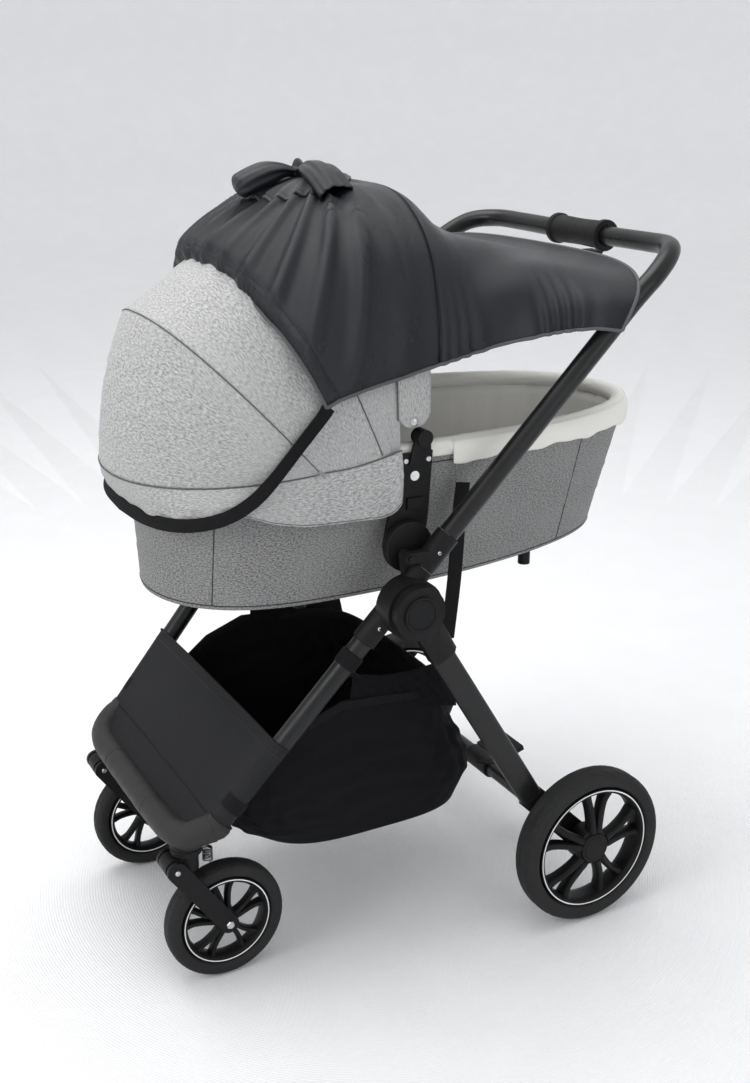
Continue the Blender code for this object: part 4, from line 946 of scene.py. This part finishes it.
settle(cord("hoodSkirtStitch", lifted(skirt, 0.0002 + 0 * folds)[-2], hoodThread, 0.0009, (0.2, 0.3, 1)),
       "chassis", "hood_fabric")
print("hood built")


# the sun shade over the hood and handle arms: stations from the front hem to the rear edge
# each row: lower hem x, y, z, then crown y, z, then how square the arch is

shade = {
    "stations": [
        (0.2050, -0.1790, 0.7800, -0.2500, 0.9240, 2.3), (0.2052, -0.1600, 0.7880, -0.2520, 0.9540,
            2.4), (0.2054, -0.1290, 0.7960, -0.2000, 0.9920, 2.7),
        (0.2056, -0.0750, 0.8070, -0.1220, 1.0260, 3.0), (0.2066, -0.0249, 0.8180, -0.0300, 1.0310,
            3.0), (0.2145, 0.0524, 0.8359, 0.0300, 0.9880, 2.6),
        (0.2370, 0.1160, 0.8505, 0.1050, 0.9580, 2.7), (0.2680, 0.1640, 0.8580, 0.1850, 0.9390,
                                                        3.4), (0.2850, 0.2000, 0.8545, 0.2830, 0.9290, 4.6),
    ],
    "knot": (0.0, -0.118,
             1.036), "pleatHeight": 0.0100, "pleats": 15.0, "gatherHeight": 0.0045, "keep": 0.30,
             "anchor": (0.0, -0.0275, 0.90),
}
stations = smoothLine(shade["stations"], 150)
# s runs 0 at the front hem, .5 at the seam over the hood's front edge, 1 at the rear edge
s = np.interp(stations[:, 1], [row[1] for row in shade["stations"]],
              [0, 0.075, 0.22, 0.36, 0.5, 0.64, 0.78, 0.9, 1])[:, None]
seamRow = int(np.argmin(np.abs(s[:, 0] - 0.5)))
arch = np.linspace(0, np.pi, 801)
rowsOut = []
for one in stations:
    x = one[0] * swell(np.cos(arch), one[5])
    rise = swell(np.sin(arch), one[5])
    rear01 = float(step(one[3], 0.02, 0.22))
    reach = rise * (1 - 0.5 * rear01) + 0.5 * rear01 * (1 - np.abs(x / one[0]) ** 2.2)
    line = np.stack([x, one[1] + (one[3] - one[1]) * reach, one[2] + (one[4] - one[2]) * rise], -1)
    rowsOut.append(spread(line, 241))
places = np.stack(rowsOut)
acrossShade = np.linspace(-1, 1, 241)[None, :]
gap = places - np.array(shade["knot"])
far = np.linalg.norm(gap, axis=2)
turnAngle = np.arctan2(np.abs(gap[..., 0]) + 0.7 * np.abs(gap[..., 2]), -gap[..., 1] + 0.03)
wavy = 0.5 + 0.5 * np.sin(shade["pleats"] * turnAngle * 2 + 1.3
                          * np.sin(3.1 * turnAngle + 2.0 * np.sign(gap[..., 0])) + 9.0 * far)
frontness = 1 - step(places[..., 1] + 0.25 * (places[..., 2] - 0.9), -0.085, 0.0)
edgeDistance = (1 - np.abs(acrossShade)) * 0.5
calm = (0.25 + 0.75 * step(s, 0.02, 0.11)) * (1 - 0.8 * np.exp(-((edgeDistance / 0.035) ** 2)))
pleats = shade["pleatHeight"] * wavy**2.2 * frontness * step(far, 0.010,
    0.080) * (1 - 0.35 * step(far, 0.15, 0.30)) * calm
rearSpan = step(s, 0.42, 0.55)
gathers = shade["gatherHeight"] * np.exp(-((edgeDistance / 0.11) ** 2)) * (0.5 + 0.5
    * np.sin(s * 118 + 5 * np.sin(s * 23) + 6 * edgeDistance)) * rearSpan * (1 - step(s, 0.93, 1.0))
longPulls = 0.0042 * rearSpan * (0.5 + 0.5 * np.sin(19 * np.abs(acrossShade) ** 1.2 + 2.4
    * np.sin(s * 9))) * np.sin(np.pi * np.clip((s - 0.45) / 0.55, 0, 1))
casing = 0.0011 * (0.5 + 0.5 * np.sin(acrossShade * 150 + 4 * np.sin(acrossShade * 31))) * (1
    - step(s, 0.055, 0.075)) * step(s, 0.0, 0.012)
crease = -0.0012 * np.exp(-(((s - 0.075) / 0.008) ** 2))
panelSeam = -0.0012 * np.exp(-(((s - 0.5) / 0.006) ** 2))
sag = -0.006 * np.exp(-((acrossShade / 0.35) ** 2)) * np.sin(np.pi * np.clip((s - 0.52) / 0.48, 0, 1))
places = lifted(places, pleats + gathers + longPulls + casing + crease + panelSeam + sag)

def onShade(made, joint="hood_fold", *nodes):
    # rides the hood's front bow; the joint is not used
    settle(made, "hood_front", "shade_fabric", *nodes)
    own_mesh(made)
    return made


halves = (("Front", places[: seamRow + 1], "hood_fold", "sunshade_hood", 0.33, "hoodFrontPanel"),
          ("Rear", places[seamRow:], "handle_fold", "sunshade_panel", 0.36, "handleTube"))
for word, rows, joint, node, width, rest in halves:
    half = clothOf("sunShade" + word, [patch(rows)], [shadeCloth], 0.0014, -1.0, outFrom=(0, -0.05, 0.80))
    onShade(half, joint, node)
    declare(half, rows, width, "gathered", rest)
    for name, line in (("Hem", rows[0] if word == "Front" else rows[-1]), ("Left", rows[:, 0]),
                       ("Right", rows[:, -1])):
        grow = 1.0 + 0.10 * np.sin(np.arange(len(line)) * 2.1)
        pipe = make(f"shadePiping{word}{name}", [swept(line, pillow(0.0046, 0.0046, 2.0, 10), (0.1, 0.2, 1),
                                                       grow)], [pipingGrey])
        onShade(pipe, joint)
onShade(cord("shadePanelSeam", lifted(places, 0.0002 + 0 * far)[seamRow, 6:-6], shadeCloth, 0.0016,
             (0, 1, 0)))
onShade(cord("shadeCasingStitch", lifted(places, 0 * far)[int(np.argmin(np.abs(s[:, 0] - 0.075))), 3:-3],
             shadeCloth, 0.0014, (0, 1, 0)))

# the mesh window at the crown, domed, with a piped edge
c, r = np.linspace(-1, 1, 34)[:, None], np.linspace(-1, 1, 40)[None, :]
iu = np.interp(0.365 + 0.095 * c * np.sqrt(1 - 0.5 * r**2), s[:, 0], np.arange(150))
iv = 120 * (1 + 0.20 * r * np.sqrt(1 - 0.5 * c**2))
k0, k1 = iu.astype(int), iv.astype(int)
fu, fv = (iu - k0)[..., None], (iv - k1)[..., None]
window = (places[k0, k1] * (1 - fu) + places[k0 + 1, k1] * fu) * (1 - fv) + (places[k0, k1 + 1] * (1 - fu)
    + places[k0 + 1, k1 + 1] * fu) * fv
dome = np.sqrt(np.clip((1 - c**2) * (1 - r**2), 0, 1))
window = window + np.stack([0 * dome, 0 * dome, 0.0024 + 0.0100 * dome**0.8], -1)
windowPiece = clothOf("shadeWindow", [patch(window)], [windowMesh], 0.0012, outFrom=(0, -0.1, 0.9))
onShade(windowPiece)
declare(windowPiece, window, 0.10, "stretched", "sunShadeFront")
edge = np.vstack([window[0], window[1:, -1], window[-1, -2::-1], window[-2::-1, 0]])
onShade(cord("shadeWindowPiping", edge, pipingGrey, 0.0044, (0, 0, 1), 10))

# the bow: two gathered tubes flaring from a knot, the right one open at its end
bowShape = {
    "left": [(0.002, -0.121, 1.044), (0.000, -0.146, 1.046), (-0.004, -0.174, 1.038),
             (-0.008, -0.202, 1.024)],
    "right": [(0.008, -0.117, 1.045), (0.036, -0.115, 1.049), (0.070, -0.112, 1.040), (0.100, -0.110, 1.022)],
}
for word, points in bowShape.items():
    path = smoothLine(points, 44)
    f = np.linspace(0, 1, 44)
    flare = 0.40 + 0.62 * step(f, 0.0, 0.55)
    if word == "left":
        flare = flare * np.sqrt(np.clip(1 - np.clip((f - 0.86) / 0.14, 0, 1) ** 2.2, 0.012, 1))
    section = pillow(0.047, 0.030, 2.2, 48)
    tube = sweep(path, section, (0, 0, 1), flare)
    a = np.linspace(0, 2 * np.pi, 48, endpoint=False)[None, :]
    folds = 0.0017 * np.sin(5 * a + 2.0 * f[:, None]) * (1 - 0.45 * step(f, 0.2, 1.0))[:,
        None] + 0.0008 * np.sin(11 * a + 1.0)
    axisLine = tube.mean(1, keepdims=True)
    tube = tube + unit(tube - axisLine) * folds[..., None] * np.minimum(1, flare)[:, None, None]
    if word == "right":
        inside = axisLine + (tube - axisLine) * 0.86
        tube = np.vstack([tube,
                          (tube[-1:] * 0.5 + inside[-1:] * 0.5) + unit(path[-1:] - path[-2:-1])[:, None]
                          * 0.0012, inside[::-1][:34]])
    loopPiece = make(f"shadeBow{word.title()}", [patch(tube, wrapCols=True, caps=True)], [shadeCloth],
                     sharp=80)
    onShade(loopPiece)
turn = np.linspace(0, 2 * np.pi, 40)
knotPath = np.stack([0.004 + 0.0105 * np.cos(turn), np.full(40, -0.118), 1.044 + 0.0105 * np.sin(turn)], -1)
onShade(make("shadeKnot", [swept(knotPath, pillow(0.015, 0.006, 2.4, 20), (0, 1, 0))], [shadeCloth],
             sharp=80))
core = [(0.0001, -0.010), (0.0070, -0.009), (0.0095, 0.0), (0.0070, 0.009), (0.0001, 0.010)]
onShade(make("shadeKnotCore", [turned(core, (0.004, -0.118, 1.044), 24, (0, 1, 0))], [shadeCloth], sharp=80))
print("sun shade built")


# webbing: the shade's strap round the head end, and the cot's side straps

strapHalf = [(0.2060, -0.1765, 0.7810), (0.2050, -0.1860, 0.7680), (0.2045, -0.2090, 0.7430),
             (0.2040, -0.2520, 0.6970), (0.1975, -0.2790, 0.6710), (0.1850, -0.3080, 0.6530),
             (0.1600, -0.3380, 0.6420), (0.1220, -0.3600, 0.6360), (0.0700, -0.3730, 0.6330), (0.0, -0.3780,
                 0.6320)]
path = bothSides(smoothLine(strapHalf, 110))
strap = make("shadeStrap", [swept(path, pillow(0.0019, 0.0170, 6.0, 20), (0, 0.35, 1))], [webbing], sharp=50)
settle(strap, "chassis", "shade_fabric", "shade_strap")
for side, word in sides:
    line = smoothLine([(0.1965, 0.0225, 0.6560), (0.1985, 0.0160, 0.6100), (0.2060, 0.0060, 0.5300),
                       (0.2100, -0.0060, 0.4460)], 40) * [side, 1, 1]
    tape = make(f"sideStrap{word.title()}", [swept(line, pillow(0.0215, 0.0022, 6.0, 20), (1, 0, 0))],
                [webbing], sharp=50)
    settle(tape, "chassis", "shade_fabric", f"side_strap_{word}")
print("straps built")


# the shopping basket: a bag whose mouth follows the frame, its floor sagging

basket = {
    "front": [-0.318, -0.308, -0.298, -0.280, -0.250], "rear": [0.030, 0.046, 0.074, 0.094,
        0.080], "half": [0.172, 0.176, 0.178, 0.176, 0.166],
    "floor": 0.158, "sag": 0.010, "mouth": [(-0.318, 0.246), (-0.200, 0.340), (-0.140, 0.362),
                                            (0.026, 0.344)],
}
depth = np.linspace(0, 1, 34)[:, None]
a = np.linspace(0, 2 * np.pi, 180, endpoint=False)[None, :]
stops = np.linspace(0, 1, 5)
yFront, yRear, wide = (np.interp(depth, stops, basket[k]) for k in ("front", "rear", "half"))
square = 6.0 - 2.4 * depth
bagX = wide * swell(np.sin(a), square)
bagY = (yFront + yRear) / 2 + (yRear - yFront) / 2 * swell(np.cos(a), square)
mouthZ = np.interp(bagY[0], *zip(*basket["mouth"]))
bagZ = mouthZ * (1 - depth) + basket["floor"] * depth
walls = np.stack([bagX, bagY, bagZ], -1)
shrink = np.linspace(1, 0.01, 14)[1:, None]
centre = np.array([0, -0.09, 0])
foot = walls[-1][None] * shrink[..., None] + centre * (1 - shrink[..., None])
foot[..., 2] = basket["floor"] - basket["sag"] * (1 - shrink**2)
bag = np.vstack([walls, foot])
k = np.linspace(0, 1, len(bag))[:, None]
slack = np.sin(np.pi * np.clip(k * 1.5, 0, 1)) * (0.0042 * ripple(a * 3, k * 6, 0.3) + 0.0016
    * np.sin(a * 23 + 6 * k)) + 0.0025 * np.sin(np.pi * np.clip(k * 1.6, 0, 1))
away = unit((bag - np.array([0, -0.11, 0.26])) * [1, 1, 0.6])
bag = bag + away * slack[..., None]
bagPiece = clothOf("basketBag", [patch(bag, wrapCols=True)], [basketCloth], 0.0018, outFrom=(0, -0.11, 0.26))
settle(bagPiece, "chassis", "basket_fabric", "basket")
wrapped = np.concatenate([bag, bag[:, :1]], 1)
declare(bagPiece, wrapped, 0.50, "hung", "lowerTubeLeft", "lowerTubeRight")
mouth = np.vstack([bag[0], bag[0][:3]])
settle(make("basketRim", [swept(mouth + (0, 0, 0.002), pillow(0.0044, 0.0130, 3.4, 16), (0, 0, 1))],
            [webbing], sharp=70), "chassis", "basket_fabric")
for side, word in sides:
    out = np.array([side, 1, 1])
    corners = np.array([[(0.168, -0.126, 0.402), (0.170, 0.017, 0.396)],
                        [(0.172, -0.134, 0.352), (0.173, 0.034, 0.322)]]) * out
    f, g = np.linspace(0, 1, 20)[:, None, None], np.linspace(0, 1, 60)[None, :, None]
    sheetRows = (corners[0, 0] * (1 - g) + corners[0, 1] * g) * (1 - f) + (corners[1, 0] * (1 - g)
        + corners[1, 1] * g) * f
    sheetRows[..., 2] -= (0.010 * np.sin(np.pi * g) * (1 - 1.5 * f))[..., 0]
    sheetRows[..., 0] += side * 0.002 * ripple(g[..., 0] * 6, f[..., 0] * 3, 1.0)
    band = clothOf(f"basketBand{word.title()}", [patch(sheetRows)], [basketCloth], 0.0018,
                   outFrom=(0, -0.06, 0.36))
    settle(band, "chassis", "basket_fabric")
    declare(band, sheetRows, 0.055, "hung", "basketRim")
    ends = (
        ("Front", (0.168, -0.124, 0.398), (0.2030, -0.157, 0.438), 0.018), ("Rear", (0.170, 0.014, 0.393),
            (0.2405, -0.006, 0.396), 0.018),
        ("Low", (0.166, -0.312, 0.248), (0.1850, -0.312, 0.268), 0.020), ("Peg", (0.176, 0.074, 0.228),
            (0.2230, 0.083, 0.247), 0.016),
    )
    for end, start, stop, width in ends:
        line = smoothLine(np.array([start, (np.array(start) + stop) / 2 + (0, 0, -0.003), stop]) * out, 16)
        piece = make(f"basketTie{end}{word.title()}",
                     [swept(line, pillow(width, 0.0020, 6.0, 16), (0, 0, 1))], [webbing], sharp=50)
        settle(piece, "chassis", "basket_fabric")
    slope = unit(np.array(mainTube["slope"]) * out)
    sleeve = [(0.0141, -0.011), (0.0158, -0.010), (0.0158, 0.010), (0.0141, 0.011)]
    rings = [turned(sleeve, onTube(y, side), 36, slope) for y in (-0.157, -0.312)]
    settle(make(f"basketSleeves{word.title()}", rings, [webbing]), "chassis", "basket_fabric")
print("basket built")


# the footrest cloth, stretched between the lower tubes and turned round them

footrest = {"from": -0.3340, "to": -0.2500, "clear": 0.0156, "dip": 0.0080, "wrapTurn": 1.9}
ys = np.linspace(footrest["from"], footrest["to"], 40)
w = np.linspace(-1, 1, 61)
phi = np.linspace(0, footrest["wrapTurn"], 12)[1:]
normal = np.array([0, -0.75, 0.6614])
rows = []
for y in ys:
    base = onTube(y)
    x = w * base[0]
    lift = footrest["clear"] - footrest["dip"] * (1 - w**4)
    flat = np.stack([x, np.full(61, base[1]), np.full(61, base[2])], -1) + normal * lift[:, None]
    roundOut = base + np.stack([footrest["clear"] * np.sin(phi), 0 * phi, 0 * phi],
                               -1) + normal * (footrest["clear"] * np.cos(phi))[:, None]
    rows.append(np.vstack([(roundOut * [-1, 1, 1])[::-1], flat, roundOut]))
rows = np.stack(rows)
lower = []
for f in np.linspace(0.04, 1, 14)[::-1]:
    # the tongue below: it narrows to the wrapped bar in a rounded outline
    half = 0.186 - 0.046 * f**2.4
    x = w * half
    y = rows[0, 11:-11, 1] * (1 - f) + (-0.3745) * f
    z = rows[0, 11:-11, 2] * (1 - f) + 0.2365 * f - 0.004 * math.sin(math.pi * f)
    lower.append(np.stack([x, y, z], -1))
tongue = np.stack(lower + [rows[0, 11:-11] * [0.985, 1, 1]])
panel = clothOf("footrestCloth", [patch(rows)], [footrestCloth], 0.0016, outFrom=(0, -0.2, 0.2))
settle(panel, "chassis", "basket_fabric", "footrest_panel")
declare(panel, rows, 0.13, "stretched", "lowerTubeLeft", "lowerTubeRight")
lip = clothOf("footrestLip", [patch(tongue)], [footrestCloth], 0.0016, outFrom=(0, -0.2, 0.15))
settle(lip, "chassis", "basket_fabric")
declare(lip, tongue, 0.05, "stretched", "loopWrap")
settle(cord("footrestTopHem", rows[-1], footrestCloth, 0.0042, (0, -0.7, 0.7), 10), "chassis",
       "basket_fabric")
settle(cord("footrestStitch", lifted(rows, 0.0002 + 0 * rows[..., 0])[-5], threadDark, 0.0009,
            (0, -0.7, 0.7)), "chassis", "basket_fabric")
print("footrest built")
